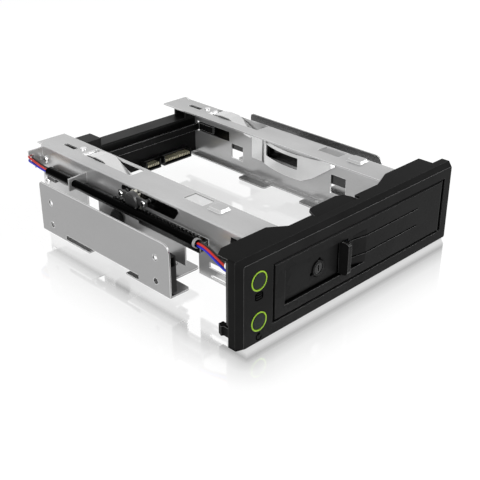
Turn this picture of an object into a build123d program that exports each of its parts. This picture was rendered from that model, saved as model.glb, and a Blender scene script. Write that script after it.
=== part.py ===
from build123d import *
from math import acos, cos, hypot, pi, radians, sin, tan
import os

os.makedirs("parts", exist_ok=True)

# Lengths are in millimetres. X runs to the right seen from the front, Y runs to the back, Z runs up.
# A depth is measured back from the front face of the bezel.

# Drive that the cage holds
DRIVE_WIDTH = 101.6
DRIVE_LENGTH = 147.0
DRIVE_HEIGHT = 26.1
DRIVE_SIDE_GAP = 0.2

# Bay that the cage fits
BAY_HOLE_PITCH = 79.25
BAY_HOLE_RISE = 11.84
BAY_HOLE_RADIUS = 1.5
FIRST_HOLE_DEPTH = 54.4
BAY_SIDE_GAP = 1.5

# Clearances
RUNNING = 0.05
SLIDE_FIT = 0.3
MARGIN = 1.0

# Sheet metal
SHEET = 0.8
BEND_RADIUS = 1.3
STRIP = 0.5
WINDOW_CORNER = 0.5
SHELF_Z = 7.0
SPRING_ROOM = 5.3
FLANGE_FRONT = 10.0
FLANGE_WIDTH = 17.0
HEM_WIDTH = 4.0
RIVET_RADIUS = 0.9
RIVET_HEAD_RADIUS = 1.7
RIVET_HEAD = 0.5

# Bezel
BEZEL_DEPTH = 7.0
BEZEL_WALL = 3.2
BEZEL_SKIN = 2.4
BEZEL_CORNER = 0.8
BEVEL_DEPTH = 3.0
BEVEL_SIDE = 2.1
BEVEL_TOP = 1.6
ROOF = 1.2
RIM = 0.35
LIGHT_STRIP = 19.5
RIGHT_JAMB = 7.2
HINGE_ROOM = 17.7
DOOR_LAP = 1.0
TAB_BOTTOM = 3.4
TAB_HEIGHT = 4.6
LUG_THICKNESS = 3.5
LUG_LENGTH = 26.0
LUG_SCREW_DEPTH = 20.0
LUG_SCREW_DROP = 6.3

# Door
DOOR_THICKNESS = 4.2
DOOR_GAP = 0.5
DOOR_TOP_GAP = 0.3
DOOR_REST = 0.4
DOOR_EDGE = 0.7
DOOR_SWING = 95
PANEL_DEPTH = 1.6
FIELD_HALF = 8.5
FIELD_START = 6.0
RAMP_START = 52.6
RAMP_END = 60.4
GROOVE_END = 3.6
GROOVE_DEPTH = 0.8
GROOVE_WIDTH = 0.7
GROOVE_LOW = -3.6
GROOVE_HIGH = 5.3
POCKET_DEPTH = 1.2
POCKET_LENGTH = 40.0
PAD_RADIUS = 2.5
PIN_RADIUS = 1.0
PIN_LENGTH = 7.0
PIN_BITE = 2.4
CRANK_IN = 4.0
CRANK_BACK = 8.0
CRANK_DROP = 3.0
CRANK_THICKNESS = 1.9
CRANK_PIN_RADIUS = 1.25
CRANK_HALF = 2.1
LINK_THICKNESS = 1.2

# Lock and latch, placed from the left web
LOCK_OFFSET = 28.8
LOCK_RADIUS = 2.5
BARREL_WALL = 0.75
LOCK_FLANGE = 0.7
KEYWAY_WIDTH = 0.9
CAM_LENGTH = 14.5
CAM_WIDTH = 4.0
CAM_THICKNESS = 1.2
LATCH_OFFSET = 43.9
LATCH_THICKNESS = 2.1
LATCH_HALF = 8.1
LATCH_PROUD = 3.9
LATCH_TRAVEL = 4.0
BOLT_THICKNESS = 1.4
BOLT_HEIGHT = 3.4
BOLT_RISE = 4.0
KEEPER_WIDTH = 3.0
KEEPER_WALL = 0.8

# Lights, button and their board, placed from the left end of the bezel
LIGHT_OFFSET = 10.95
LOWER_LIGHT_Z = 11.5
UPPER_LIGHT_DROP = 11.3
RING_OUTER = 4.5
RING_INNER = 3.9
RING_PROUD = 0.15
CAP_PROUD = 0.3
CAP_EDGE = 0.4
BUTTON_GAP = 0.15
BUTTON_TRAVEL = 1.0
COLLAR = 0.8
COLLAR_EXTRA = 1.0
FRONT_BOARD_DEPTH = 9.6
FRONT_BOARD_THICKNESS = 1.2
FRONT_BOARD_WIDTH = 14.1
PLUG_LENGTH = 4.0
PLUG_WIDTH = 6.8
PLUG_HEIGHT = 4.8

# Ejector, rack and damper
MODULE = 0.8
PINION_TEETH = 10
PRESSURE_ANGLE = 20
PINION_DEPTH = 88.0
PINION_DROP = 5.4
RACK_BACKLASH = 0.13
RACK_ROOM = 1.1
RACK_TIP = 0.55
RACK_FRONT = 43.0
RACK_REAR = 106.0
TOOTH_WIDTH = 1.6
BAR_GAP = 0.6
BAR_THICKNESS = 3.9
BAR_HEIGHT = 3.3
BAR_FRONT = 40.6
CHANNEL_FRONT = 40.0
CHANNEL_REAR = 82.0
CHANNEL_WALL = 0.5
CROSS_BAR_HEIGHT = 4.0
CROSS_BAR_THICKNESS = 1.0
CROSS_BAR_DROP = 3.0
CROSS_BAR_BEHIND = 4.4
ARM_LENGTH = 12.0
SLIDE_PLATE_FRONT = 20.0
DOOR_SWEEP = 2.0
DAMPER_RADIUS = 4.5
DAMPER_DEPTH = 2.6
SHAFT_RADIUS = 1.0
POST_OFFSET = 8.2
POST_RISE = 1.2
POST_RADIUS = 1.3
DAMPER_SHEET = 0.4

# Springs and bumper
SPRING_WIDTH = 8.0
LEFT_SPRING_INSET = 11.0
RIGHT_SPRING_INSET = 5.6
SPRING_BITE = 0.1
BOW_FRONT = 54.0
BOW_REAR = 106.0
BOW_DEPTH = 5.6
BOW_BOTTOM = 19.0
BOW_TOP = 33.0
BUMPER_DEPTH = 105.0
BUMPER_Z = 19.5
BUMPER_NECK = 2.4
BUMPER_HEAD = 4.6
BUMPER_PROUD = 1.9

# Mount brackets
PLATE_HEIGHT = 26.0
LOWER_HOLE_RISE = 5.2
RELIEF = 3.2
FOOT_WIDTH = 12.0
FOOT_REACH = 9.0
PAD_THICKNESS = 3.6
BRACKET_PAD_HEIGHT = 19.0

# Rear wall, its board and sockets
WALL_BEHIND = 8.0
WEB_BEHIND = 14.0
FLANGE_BEHIND = 17.0
SOCKET_BEHIND = 3.0
WALL_THICKNESS = 1.2
WALL_SHELF = 9.7
WALL_SCREW_RADIUS = 1.2
LEFT_EAR = 27.2
RIGHT_EAR = 14.8
EAR_GAP = 0.6
BOARD_THICKNESS = 1.6
BOARD_LEFT = 45.6
SOCKET_OFFSET = 26.0
SOCKET_RISE = 3.5
SOCKET_HEIGHT = 5.4
SOCKET_WALL = 0.8
SOCKET_GAP = 2.4
SOCKET_LIP = 3.0
TONGUE_HALF = 0.6
CONTACT_PITCH = 1.27
CONTACT_HALF = 0.35
CONTACT_HEIGHT = 0.3
DATA_COUNT = 7
POWER_COUNT = 15
PIN_PITCH = 5.08
HEADER_WIDTH = 8.0
HEADER_LENGTH = 3.2
HEADER_HALF = 2.6

# Loom
SLEEVE_OFFSET = 7.6
SLEEVE_DROP = 8.2
SLEEVE_OUTER = 1.8
SLEEVE_INNER = 1.55
SLEEVE_FRONT = 38.0
SLEEVE_FREE = 4.0
HANGER_BEHIND = 39.4
WIRE_RADIUS = 0.55
WIRE_SPACING = 0.62
WIRE_SPLAY = 1.1
WIRE_TURN_RADIUS = 3.2

# Places along X
WEB_X = DRIVE_WIDTH / 2 + DRIVE_SIDE_GAP + SHEET
BEZEL_WIDTH = LIGHT_STRIP + DOOR_LAP + 2 * WEB_X + HINGE_ROOM + RIGHT_JAMB
BEZEL_LEFT = -BEZEL_WIDTH / 2
BEZEL_RIGHT = BEZEL_WIDTH / 2
RECESS_LEFT = BEZEL_LEFT + LIGHT_STRIP
RECESS_RIGHT = BEZEL_RIGHT - RIGHT_JAMB
LEFT_WEB = RECESS_LEFT + DOOR_LAP
RIGHT_WEB = RECESS_RIGHT - HINGE_ROOM
BAY_CENTRE_X = (LEFT_WEB + RIGHT_WEB) / 2
PLATE_X = BEZEL_WIDTH / 2 - BAY_SIDE_GAP
DOOR_LEFT = RECESS_LEFT + DOOR_GAP
HINGE_X = RECESS_RIGHT - DOOR_GAP - DOOR_THICKNESS / 2
LOCK_X = LEFT_WEB + LOCK_OFFSET
LATCH_X = LEFT_WEB + LATCH_OFFSET
LIGHT_X = BEZEL_LEFT + LIGHT_OFFSET
BAR_X = LEFT_WEB - BAR_GAP
BAR_OUTER = BAR_X - BAR_THICKNESS
CHANNEL_OUTER = BAR_OUTER - SLIDE_FIT - CHANNEL_WALL
SLEEVE_X = LEFT_WEB - SLEEVE_OFFSET
LIP_X = LEFT_WEB - 8.2
NOTCH_X = LEFT_WEB - 5.0
SOCKET_X = RIGHT_WEB - SOCKET_OFFSET
SLIDE_INNER = RIGHT_WEB + SLIDE_FIT
SLIDE_OUTER = SLIDE_INNER + LINK_THICKNESS

# Heights
SHELF_TOP = SHELF_Z + SHEET
DRIVE_FLOOR = SHELF_TOP + SHEET
DRIVE_TOP = DRIVE_FLOOR + DRIVE_HEIGHT
CAGE_TOP = DRIVE_TOP + SPRING_ROOM + SHEET
FLANGE_BOTTOM = CAGE_TOP - SHEET
BEZEL_HEIGHT = CAGE_TOP + ROOF
RECESS_BOTTOM = SHELF_Z
RECESS_TOP = DRIVE_TOP + SLIDE_FIT
DOOR_BOTTOM = RECESS_BOTTOM + DOOR_TOP_GAP
DOOR_TOP = RECESS_TOP - DOOR_TOP_GAP
DOOR_MIDDLE = (DOOR_BOTTOM + DOOR_TOP) / 2
LOCK_Z = DOOR_MIDDLE
BOLT_Z = (DOOR_MIDDLE + BOLT_RISE, DOOR_MIDDLE + BOLT_RISE + BOLT_HEIGHT)
CRANK_Z = DOOR_MIDDLE - CRANK_DROP
FORK_Z = CRANK_Z + CRANK_THICKNESS + SLIDE_FIT
HINGE_PIN_TOP = RECESS_TOP + PIN_BITE
HINGE_PIN_BOTTOM = RECESS_BOTTOM - PIN_BITE
UPPER_LIGHT_Z = BEZEL_HEIGHT - UPPER_LIGHT_DROP
LUG_SCREW_Z = CAGE_TOP - LUG_SCREW_DROP
PITCH = pi * MODULE
PINION_RADIUS = MODULE * PINION_TEETH / 2
PINION_Z = CAGE_TOP - PINION_DROP
PITCH_LINE_Z = PINION_Z - PINION_RADIUS
BAR_TOP = PITCH_LINE_Z - RACK_ROOM
BAR_BOTTOM = BAR_TOP - BAR_HEIGHT
POST_Z = PINION_Z + POST_RISE
CROSS_BAR_Z = BAR_BOTTOM - CROSS_BAR_DROP
CROSS_BAR_TOP = CROSS_BAR_Z + CROSS_BAR_HEIGHT
SLEEVE_Z = CAGE_TOP - SLEEVE_DROP
PLATE_TOP = SHELF_Z + PLATE_HEIGHT
LOWER_HOLE_Z = SHELF_Z + LOWER_HOLE_RISE
WALL_BOTTOM = DRIVE_FLOOR + 1.2
WALL_TOP = DRIVE_TOP + 1.3
WALL_SCREW_Z = (WALL_BOTTOM + 11.1, WALL_TOP - 3.2)
SOCKET_Z = DRIVE_FLOOR + SOCKET_RISE
REAR_PLUG_Z = WALL_TOP - 14.0
HEADER_Z = WALL_TOP - 12.0
SPRING_LOW = DRIVE_TOP + SPRING_BITE

# Depths
DRIVE_FRONT = BEZEL_DEPTH
DRIVE_REAR = DRIVE_FRONT + DRIVE_LENGTH
RECESS_DEPTH = DOOR_THICKNESS + DOOR_REST
HINGE_DEPTH = DOOR_THICKNESS / 2
BOLT_DEPTH = DOOR_THICKNESS + 0.2
BOLT_BACK = BOLT_DEPTH + BOLT_THICKNESS
CAM_DEPTH = DOOR_THICKNESS + 0.5
PLUG_FRONT = FRONT_BOARD_DEPTH + FRONT_BOARD_THICKNESS
PLUG_BACK = PLUG_FRONT + PLUG_LENGTH
SOCKET_FRONT = DRIVE_REAR + SOCKET_BEHIND
CROSS_BAR_DEPTH = DRIVE_REAR + CROSS_BAR_BEHIND
CROSS_BAR_REAR = CROSS_BAR_DEPTH + CROSS_BAR_THICKNESS
WALL_DEPTH = DRIVE_REAR + WALL_BEHIND
BOARD_DEPTH = WALL_DEPTH + WALL_THICKNESS
REAR_BOARD = BOARD_DEPTH + BOARD_THICKNESS
WALL_SCREW_DEPTH = WALL_DEPTH + 2.4
WEB_REAR = DRIVE_REAR + WEB_BEHIND
FLANGE_REAR = DRIVE_REAR + FLANGE_BEHIND
SLEEVE_REAR = WEB_REAR - 17.0
HANGER_DEPTH = WEB_REAR - HANGER_BEHIND
LEAF_RIVET_DEPTH = DRIVE_REAR - 8.4
FACE_Y = -(FLANGE_REAR - LATCH_PROUD) / 2


def crank_depth(angle):
    """Depth of the crank pin behind the hinge, with the door open by this many degrees."""
    return CRANK_BACK * cos(radians(angle)) - CRANK_IN * sin(radians(angle))


# Linkage between door and ejector
CRANK_RADIUS = hypot(CRANK_IN, CRANK_BACK)
EJECT_TRAVEL = crank_depth(0) - crank_depth(DOOR_SWING)
FORK_LAG = max(
    crank_depth(a) - crank_depth(0) + EJECT_TRAVEL * a / DOOR_SWING for a in range(0, DOOR_SWING + 1, 5)
)
FORK_HALF = CRANK_PIN_RADIUS + FORK_LAG / 2 + 0.35
FORK_CENTRE = HINGE_DEPTH + CRANK_BACK + FORK_LAG / 2
FORK_X = (HINGE_X - CRANK_RADIUS - CRANK_PIN_RADIUS - 2.0, HINGE_X - CRANK_IN + CRANK_PIN_RADIUS + 0.1)

# Places of what repeats
LEFT_PLATE = (FIRST_HOLE_DEPTH - 9.6, FIRST_HOLE_DEPTH + BAY_HOLE_PITCH + 8.95)
RIGHT_PLATE = (FIRST_HOLE_DEPTH - 12.4, FIRST_HOLE_DEPTH + BAY_HOLE_PITCH + 4.85)
LEFT_FEET = ((LEFT_PLATE[0], 76.0), (104.0, LEFT_PLATE[1]))
RIGHT_FEET = ((RIGHT_PLATE[0], 72.0), (93.0, RIGHT_PLATE[1]))
LEFT_TABS = ((56.0, 76.0), (110.0, 128.0))
RIGHT_TABS = ((56.0, 72.0), (97.0, 118.0))
LEFT_RIVETS = (71.0, 119.0)
RIGHT_RIVETS = (64.0, 101.0, 114.0)
FRONT_SCREWS = ((BEZEL_LEFT + 4.5, BEZEL_HEIGHT - 6.0), (BEZEL_LEFT + 14.9, 4.8))
BOARD_X = (SOCKET_X - BOARD_LEFT, SOCKET_X + 19.8)
BACK_SCREWS = (
    (BOARD_X[0] + 4.0, WALL_BOTTOM + 3.7), (BOARD_X[0] + 4.0, WALL_TOP - 5.5), (BOARD_X[1] - 2.4, WALL_TOP - 5.5),
)
HEADER_X = (BOARD_X[0] + 2.5, BOARD_X[0] + 2.5 + HEADER_WIDTH)
HOUSING_X = (BAR_X - TOOTH_WIDTH - 0.2 - DAMPER_DEPTH, BAR_X - TOOTH_WIDTH - 0.2)
CROSS_SLOT_Z = (CROSS_BAR_Z - MARGIN, CROSS_BAR_TOP + MARGIN)


def span(a, b):
    """Two limits, the lower one first."""
    return (min(a, b), max(a, b))


def block(x, depth, z):
    """Box between three pairs of limits."""
    size = Box(x[1] - x[0], depth[1] - depth[0], z[1] - z[0])
    return Pos((x[0] + x[1]) / 2, FACE_Y + (depth[0] + depth[1]) / 2, (z[0] + z[1]) / 2) * size


def rod_x(radius, x, depth, z):
    """Round rod along X."""
    return Pos(x[0], FACE_Y + depth, z) * extrude(Plane.YZ * Circle(radius), amount=x[1] - x[0])


def rod_y(radius, x, depth, z):
    """Round rod along Y."""
    face = Plane(origin=(x, FACE_Y + depth[1], z), x_dir=(1, 0, 0), z_dir=(0, -1, 0)) * Circle(radius)
    return extrude(face, amount=depth[1] - depth[0])


def rod_z(radius, x, depth, z):
    """Round rod along Z."""
    return Pos(x, FACE_Y + depth, z[0]) * extrude(Circle(radius), amount=z[1] - z[0])


def front_plane(depth):
    """Plane across the depth, with X to the right and Z up."""
    return Plane(origin=(0, FACE_Y + depth, 0), x_dir=(1, 0, 0), z_dir=(0, -1, 0))


def along_depth(outline, depth):
    """Outline in X and Z, carried from one depth to the other."""
    return extrude(front_plane(depth[1]) * outline, amount=depth[1] - depth[0], dir=(0, -1, 0))


def across(outline, x):
    """Outline in depth and Z, carried from one X to the other."""
    return Pos(x[0], FACE_Y, 0) * extrude(Plane.YZ * outline, amount=x[1] - x[0], dir=(1, 0, 0))


def upright(outline, z):
    """Outline in X and depth, carried from one height to the other."""
    return Pos(0, FACE_Y, z[0]) * extrude(outline, amount=z[1] - z[0], dir=(0, 0, 1))


def shape(*points):
    """Flat outline through these points, whichever way round they are given."""
    turned = points[1:] + points[:1]
    area = sum(a[0] * b[1] - b[0] * a[1] for a, b in zip(points, turned))
    return Polygon(*(points if area > 0 else points[::-1]), align=None)


def rectangle(x, z, radius=0.0):
    """Flat rectangle between two pairs of limits, with rounded corners where a radius is given."""
    width = x[1] - x[0]
    height = z[1] - z[0]
    face = RectangleRounded(width, height, radius) if radius else Rectangle(width, height)
    return Pos((x[0] + x[1]) / 2, (z[0] + z[1]) / 2) * face


def folded(points, radius, side):
    """Section of a folded strip whose outer face follows the points, and its thickness."""
    def section(thickness):
        return make_face(offset(FilletPolyline(*points, radius=radius), amount=thickness, side=side))
    return section


def group_of(solids):
    """Separate solids of one kind, kept as one node."""
    return Compound(children=list(solids))


def save(solid, node):
    export_step(solid, f"parts/{node}.step")


# Bezel


def bezel_body():
    outer = rectangle((BEZEL_LEFT, BEZEL_RIGHT), (0, BEZEL_HEIGHT), BEZEL_CORNER)
    face_x = (BEZEL_LEFT + BEVEL_SIDE, BEZEL_RIGHT - BEVEL_SIDE)
    inner = rectangle(face_x, (BEVEL_TOP, BEZEL_HEIGHT - BEVEL_TOP), BEZEL_CORNER)
    front = loft([front_plane(BEVEL_DEPTH) * outer, front_plane(0) * inner])
    return front + along_depth(outer, (BEVEL_DEPTH, BEZEL_DEPTH))


def recess():
    """Cutter for the door's recess, with a small slope round its mouth."""
    deep = block((RECESS_LEFT, RECESS_RIGHT), (-MARGIN, RECESS_DEPTH), (RECESS_BOTTOM, RECESS_TOP))
    throat = rectangle((RECESS_LEFT, RECESS_RIGHT), (RECESS_BOTTOM, RECESS_TOP))
    mouth = rectangle((RECESS_LEFT - RIM, RECESS_RIGHT + RIM), (RECESS_BOTTOM - RIM, RECESS_TOP + RIM))
    return deep + loft([front_plane(RIM) * throat, front_plane(0) * mouth])


def bezel_roof():
    """Wings over the flanges of the cage, with a lower tongue between them."""
    back = BEZEL_DEPTH
    mid = BAY_CENTRE_X
    left = shape(
        (BEZEL_LEFT, back), (BEZEL_LEFT, back + 5.8), (BEZEL_LEFT + 5, back + 9), (LEFT_WEB + 10.7, back + 9),
        (LEFT_WEB + 18.7, back + 3.3), (mid - 18.3, back + 3.3), (mid - 18.3, back),
    )
    right = shape(
        (mid + 11.2, back), (mid + 11.2, back + 3.2), (RIGHT_WEB - 23.6, back + 3.2),
        (RIGHT_WEB - 11.3, back + 8.2), (BEZEL_RIGHT - 8.7, back + 8.2), (BEZEL_RIGHT - 8.7, back),
    )
    tongue = shape(
        (mid - 18.1, back), (mid - 13.4, back + 8.9), (mid - 11.5, back + 10), (mid + 6.4, back + 10.5),
        (mid + 9.8, back + 8.3), (mid + 11, back + 5.2), (mid + 11, back),
    )
    wings = upright(left, (CAGE_TOP, BEZEL_HEIGHT)) + upright(right, (CAGE_TOP, BEZEL_HEIGHT))
    return wings + upright(tongue, (CAGE_TOP - ROOF, CAGE_TOP))


def bezel_tab(side):
    """Snap tab low at one side, with a barb on its end."""
    inner = side * (BEZEL_WIDTH / 2 - 5.5)
    outer = side * (BEZEL_WIDTH / 2 - 1.9)
    arm = shape(
        (inner, BEZEL_DEPTH), (outer, BEZEL_DEPTH), (outer, BEZEL_DEPTH + 4.4), (outer + side, BEZEL_DEPTH + 5.2),
        (outer, BEZEL_DEPTH + 7.6), (inner + side, BEZEL_DEPTH + 7.6), (inner + side, BEZEL_DEPTH + 1.5),
    )
    return upright(arm, (TAB_BOTTOM, TAB_BOTTOM + TAB_HEIGHT))


def bezel_lug(web, side):
    """Lug that a screw fastens to the outer face of a web."""
    outer = web + side * LUG_THICKNESS
    root = BEZEL_DEPTH - MARGIN
    outline = shape((web, root), (web, LUG_LENGTH), (outer, LUG_LENGTH - 3), (outer, root))
    lug = upright(outline, (LUG_SCREW_Z - 3, LUG_SCREW_Z + 3))
    return lug - rod_x(RIVET_RADIUS, span(web - 5, web + 5), LUG_SCREW_DEPTH, LUG_SCREW_Z)


def bezel_cuts():
    """Cutters for the back of the bezel and for what passes through it."""
    behind = (BEZEL_WALL, BEZEL_DEPTH + MARGIN)
    tall = (BEZEL_SKIN, BEZEL_HEIGHT - BEZEL_SKIN)
    cuts = [
        block((BEZEL_LEFT + BEZEL_SKIN, RECESS_LEFT - BEZEL_SKIN), behind, tall),
        block((RECESS_RIGHT + BEZEL_SKIN, BEZEL_RIGHT - BEZEL_SKIN), behind, tall),
    ]
    slot_x = (LEFT_WEB + SHEET - 0.4, RIGHT_WEB - SHEET + 0.6)
    cuts.append(block(slot_x, (0, behind[1]), (DRIVE_FLOOR - 0.7, DRIVE_TOP + 0.2)))
    fork_z = (CRANK_Z - MARGIN, FORK_Z + LINK_THICKNESS + 2.1)
    cuts.append(block((RIGHT_WEB - SHEET, HINGE_X), (0, behind[1]), fork_z))
    bolt_z = (BOLT_Z[0] - 0.4, BOLT_Z[1] + 0.4)
    cuts.append(block((RECESS_LEFT - 3.2, LEFT_WEB + SHEET), (BOLT_DEPTH - 0.3, behind[1]), bolt_z))
    sill_x = (LOCK_X - 9.5, LOCK_X + CAM_WIDTH / 2 + 0.9)
    sill_z = (LOCK_Z - CAM_LENGTH - 0.5, DRIVE_FLOOR)
    cuts.append(block(sill_x, (CAM_DEPTH - 0.3, CAM_DEPTH + CAM_THICKNESS + 0.4), sill_z))
    for z in (UPPER_LIGHT_Z, LOWER_LIGHT_Z):
        cuts.append(rod_y(RING_OUTER + RUNNING, LIGHT_X, (-MARGIN, BEZEL_DEPTH), z))
    cuts.append(rod_z(PIN_RADIUS + RUNNING, HINGE_X, HINGE_DEPTH, (DOOR_TOP - 1, HINGE_PIN_TOP + RUNNING)))
    cuts.append(rod_z(PIN_RADIUS + RUNNING, HINGE_X, HINGE_DEPTH, (HINGE_PIN_BOTTOM - RUNNING, DOOR_BOTTOM + 1)))
    return cuts


def front_bezel():
    body = bezel_body() - recess()
    for cut in bezel_cuts():
        body -= cut
    body += bezel_roof()
    body += bezel_tab(-1) + bezel_tab(1)
    body += bezel_lug(LEFT_WEB, -1) + bezel_lug(RIGHT_WEB, 1)
    for x, z in FRONT_SCREWS:
        body += rod_y(1.8, x, (BEZEL_WALL, FRONT_BOARD_DEPTH), z)
        body -= rod_y(0.7, x, (BEZEL_WALL + 1, FRONT_BOARD_DEPTH + 1), z)
    return body


def hinge_pins():
    upper = rod_z(PIN_RADIUS, HINGE_X, HINGE_DEPTH, (HINGE_PIN_TOP - PIN_LENGTH, HINGE_PIN_TOP))
    lower = rod_z(PIN_RADIUS, HINGE_X, HINGE_DEPTH, (HINGE_PIN_BOTTOM, HINGE_PIN_BOTTOM + PIN_LENGTH))
    return group_of([upper, lower])


# Lights, button and their board


def light_ring(z):
    ring = rod_y(RING_OUTER, LIGHT_X, (-RING_PROUD, BEZEL_WALL), z)
    ring += rod_y(RING_OUTER + COLLAR_EXTRA, LIGHT_X, (BEZEL_WALL, BEZEL_WALL + COLLAR), z)
    return ring - rod_y(RING_INNER, LIGHT_X, (-MARGIN, BEZEL_WALL + 2 * COLLAR), z)


def light_rings():
    return group_of(light_ring(z) for z in (UPPER_LIGHT_Z, LOWER_LIGHT_Z))


def round_cap(z, stem_radius, stem_back):
    """Round cap with a sloped edge, a collar behind the ring and a stem."""
    collar_front = BEZEL_WALL + COLLAR + RUNNING
    collar_back = collar_front + COLLAR
    cap = rod_y(RING_INNER - BUTTON_GAP, LIGHT_X, (-CAP_PROUD, collar_back), z)
    cap = chamfer(cap.faces().sort_by(Axis.Y)[0].edges(), CAP_EDGE)
    cap += rod_y(RING_OUTER + COLLAR_EXTRA - 0.2, LIGHT_X, (collar_front, collar_back), z)
    return cap + rod_y(stem_radius, LIGHT_X, (collar_back, stem_back), z)


def reset_button():
    return round_cap(LOWER_LIGHT_Z, 1.3, FRONT_BOARD_DEPTH - 3.9)


def activity_lens():
    return round_cap(UPPER_LIGHT_Z, 1.6, FRONT_BOARD_DEPTH - 3.0)


def front_board():
    left = BEZEL_LEFT + 2.6
    depth = (FRONT_BOARD_DEPTH, PLUG_FRONT)
    board = block((left, left + FRONT_BOARD_WIDTH), depth, (3.0, BEZEL_HEIGHT - 3.8))
    corner_z = (2.0, TAB_BOTTOM + TAB_HEIGHT + 0.6)
    board -= block((left - MARGIN, left + 4.5), (depth[0] - MARGIN, depth[1] + MARGIN), corner_z)
    for x, z in FRONT_SCREWS:
        board -= rod_y(1.0, x, (depth[0] - MARGIN, depth[1] + MARGIN), z)
    return board


def reset_switch():
    z = LOWER_LIGHT_Z
    body = block((LIGHT_X - 3, LIGHT_X + 3), (FRONT_BOARD_DEPTH - 1.9, FRONT_BOARD_DEPTH), (z - 3, z + 3))
    plunger_front = FRONT_BOARD_DEPTH - 3.9 + BUTTON_TRAVEL + 0.1
    return body + rod_y(1.5, LIGHT_X, (plunger_front, FRONT_BOARD_DEPTH - 1.8), z)


def activity_led():
    z = UPPER_LIGHT_Z
    return block((LIGHT_X - 1.6, LIGHT_X + 1.6), (FRONT_BOARD_DEPTH - 2.2, FRONT_BOARD_DEPTH), (z - 1, z + 1))


PLUG_X = LIGHT_X + 1.05
PLUG_Z = SLEEVE_Z - 4.4


def front_plug():
    """Wire plug on the back of the front board."""
    x = (PLUG_X - PLUG_WIDTH / 2, PLUG_X + PLUG_WIDTH / 2)
    return block(x, (PLUG_FRONT, PLUG_BACK), (PLUG_Z - PLUG_HEIGHT / 2, PLUG_Z + PLUG_HEIGHT / 2))


# Door, lock and latch


def door_blank():
    """Panel with a round knuckle, and sloped front edges."""
    back = DOOR_THICKNESS
    outline = shape((DOOR_LEFT, 0), (HINGE_X, 0), (HINGE_X, back), (DOOR_LEFT, back))
    outline += Pos(HINGE_X, HINGE_DEPTH) * Circle(DOOR_THICKNESS / 2)
    door = upright(outline, (DOOR_BOTTOM, DOOR_TOP))
    for z, slope in ((DOOR_TOP, -DOOR_EDGE), (DOOR_BOTTOM, DOOR_EDGE)):
        edge = shape((-0.01, z + slope), (-0.01, z - slope / 7), (DOOR_EDGE, z - slope / 7), (DOOR_EDGE, z))
        door -= across(edge, (DOOR_LEFT - MARGIN, HINGE_X))
    side = shape(
        (DOOR_LEFT + DOOR_EDGE, 0), (DOOR_LEFT, DOOR_EDGE), (DOOR_LEFT - 0.1, DOOR_EDGE),
        (DOOR_LEFT - 0.1, -0.1), (DOOR_LEFT + DOOR_EDGE, -0.1),
    )
    return door - upright(side, (DOOR_BOTTOM - 1, DOOR_TOP + 1))


def door_field():
    """Cutters for the sunk field, its ramp and the two grooves that run on from it."""
    left = LEFT_WEB + FIELD_START
    ramp_start = LEFT_WEB + RAMP_START
    ramp_end = LEFT_WEB + RAMP_END
    field = shape((left, -1), (left, PANEL_DEPTH), (ramp_start, PANEL_DEPTH), (ramp_end, 0), (ramp_end, -1))
    cuts = [upright(field, (DOOR_MIDDLE - FIELD_HALF, DOOR_MIDDLE + FIELD_HALF))]
    deep = PANEL_DEPTH + GROOVE_DEPTH
    end = RIGHT_WEB - GROOVE_END
    groove = shape(
        (LATCH_X, -1), (LATCH_X, deep), (ramp_start, deep), (ramp_end, GROOVE_DEPTH), (end, GROOVE_DEPTH), (end, -1),
    )
    for offset_z in (GROOVE_LOW, GROOVE_HIGH):
        z = DOOR_MIDDLE + offset_z
        cuts.append(upright(groove, (z - GROOVE_WIDTH / 2, z + GROOVE_WIDTH / 2)))
    return cuts


def door_panel():
    door = door_blank()
    for cut in door_field():
        door -= cut
    behind = DOOR_THICKNESS + MARGIN
    pocket_x = (RIGHT_WEB + 2.4 - POCKET_LENGTH, RIGHT_WEB + 2.4)
    pocket_z = (DOOR_MIDDLE - 10, DOOR_MIDDLE + 10)
    door -= block(pocket_x, (DOOR_THICKNESS - POCKET_DEPTH, behind), pocket_z)
    slot_x = (LATCH_X - 1.4, LATCH_X + 1.4 + LATCH_TRAVEL)
    door -= block(slot_x, (0, behind), (BOLT_Z[0] - 0.4, BOLT_Z[1] + 0.3))
    door -= rod_y(LOCK_RADIUS + BARREL_WALL, LOCK_X, (0, behind), LOCK_Z)
    for z in ((DOOR_TOP - PIN_LENGTH, DOOR_TOP + 1), (DOOR_BOTTOM - 1, DOOR_BOTTOM + PIN_LENGTH)):
        door -= rod_z(PIN_RADIUS + RUNNING, HINGE_X, HINGE_DEPTH, z)
    return door + door_crank() + bolt_keeper(LEFT_WEB + 6) + bolt_keeper(LEFT_WEB + 35)


def door_crank():
    """Arm and pin behind the door, which draw the ejector fork."""
    x = HINGE_X - CRANK_IN
    depth = HINGE_DEPTH + CRANK_BACK
    root = DOOR_THICKNESS - 0.1
    arm = shape((x - 3.2, root), (x + 1.8, root), (x + CRANK_HALF, depth), (x - CRANK_HALF, depth))
    arm += Pos(x, depth) * Circle(CRANK_HALF)
    crank = upright(arm, (CRANK_Z, CRANK_Z + CRANK_THICKNESS))
    return crank + rod_z(CRANK_PIN_RADIUS, x, depth, (CRANK_Z, FORK_Z + LINK_THICKNESS + 0.9))


def bolt_keeper(x):
    """Loop that guides the bolt on the back of the door."""
    loop_z = (BOLT_Z[0] - KEEPER_WALL, BOLT_Z[1] + KEEPER_WALL)
    loop = block((x, x + KEEPER_WIDTH), (DOOR_THICKNESS - 0.1, BOLT_BACK + KEEPER_WALL), loop_z)
    inside_z = (BOLT_Z[0] - 0.2, BOLT_Z[1] + 0.2)
    return loop - block((x - 1, x + KEEPER_WIDTH + 1), (DOOR_THICKNESS, BOLT_BACK + 0.15), inside_z)


def door_pads():
    """Two rubber pads that press on the front of the drive."""
    depth = (DOOR_THICKNESS, DRIVE_FRONT - 0.4)
    return group_of(rod_y(PAD_RADIUS, x, depth, DOOR_MIDDLE - 8) for x in (LEFT_WEB + 5.5, LEFT_WEB + 56))


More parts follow.
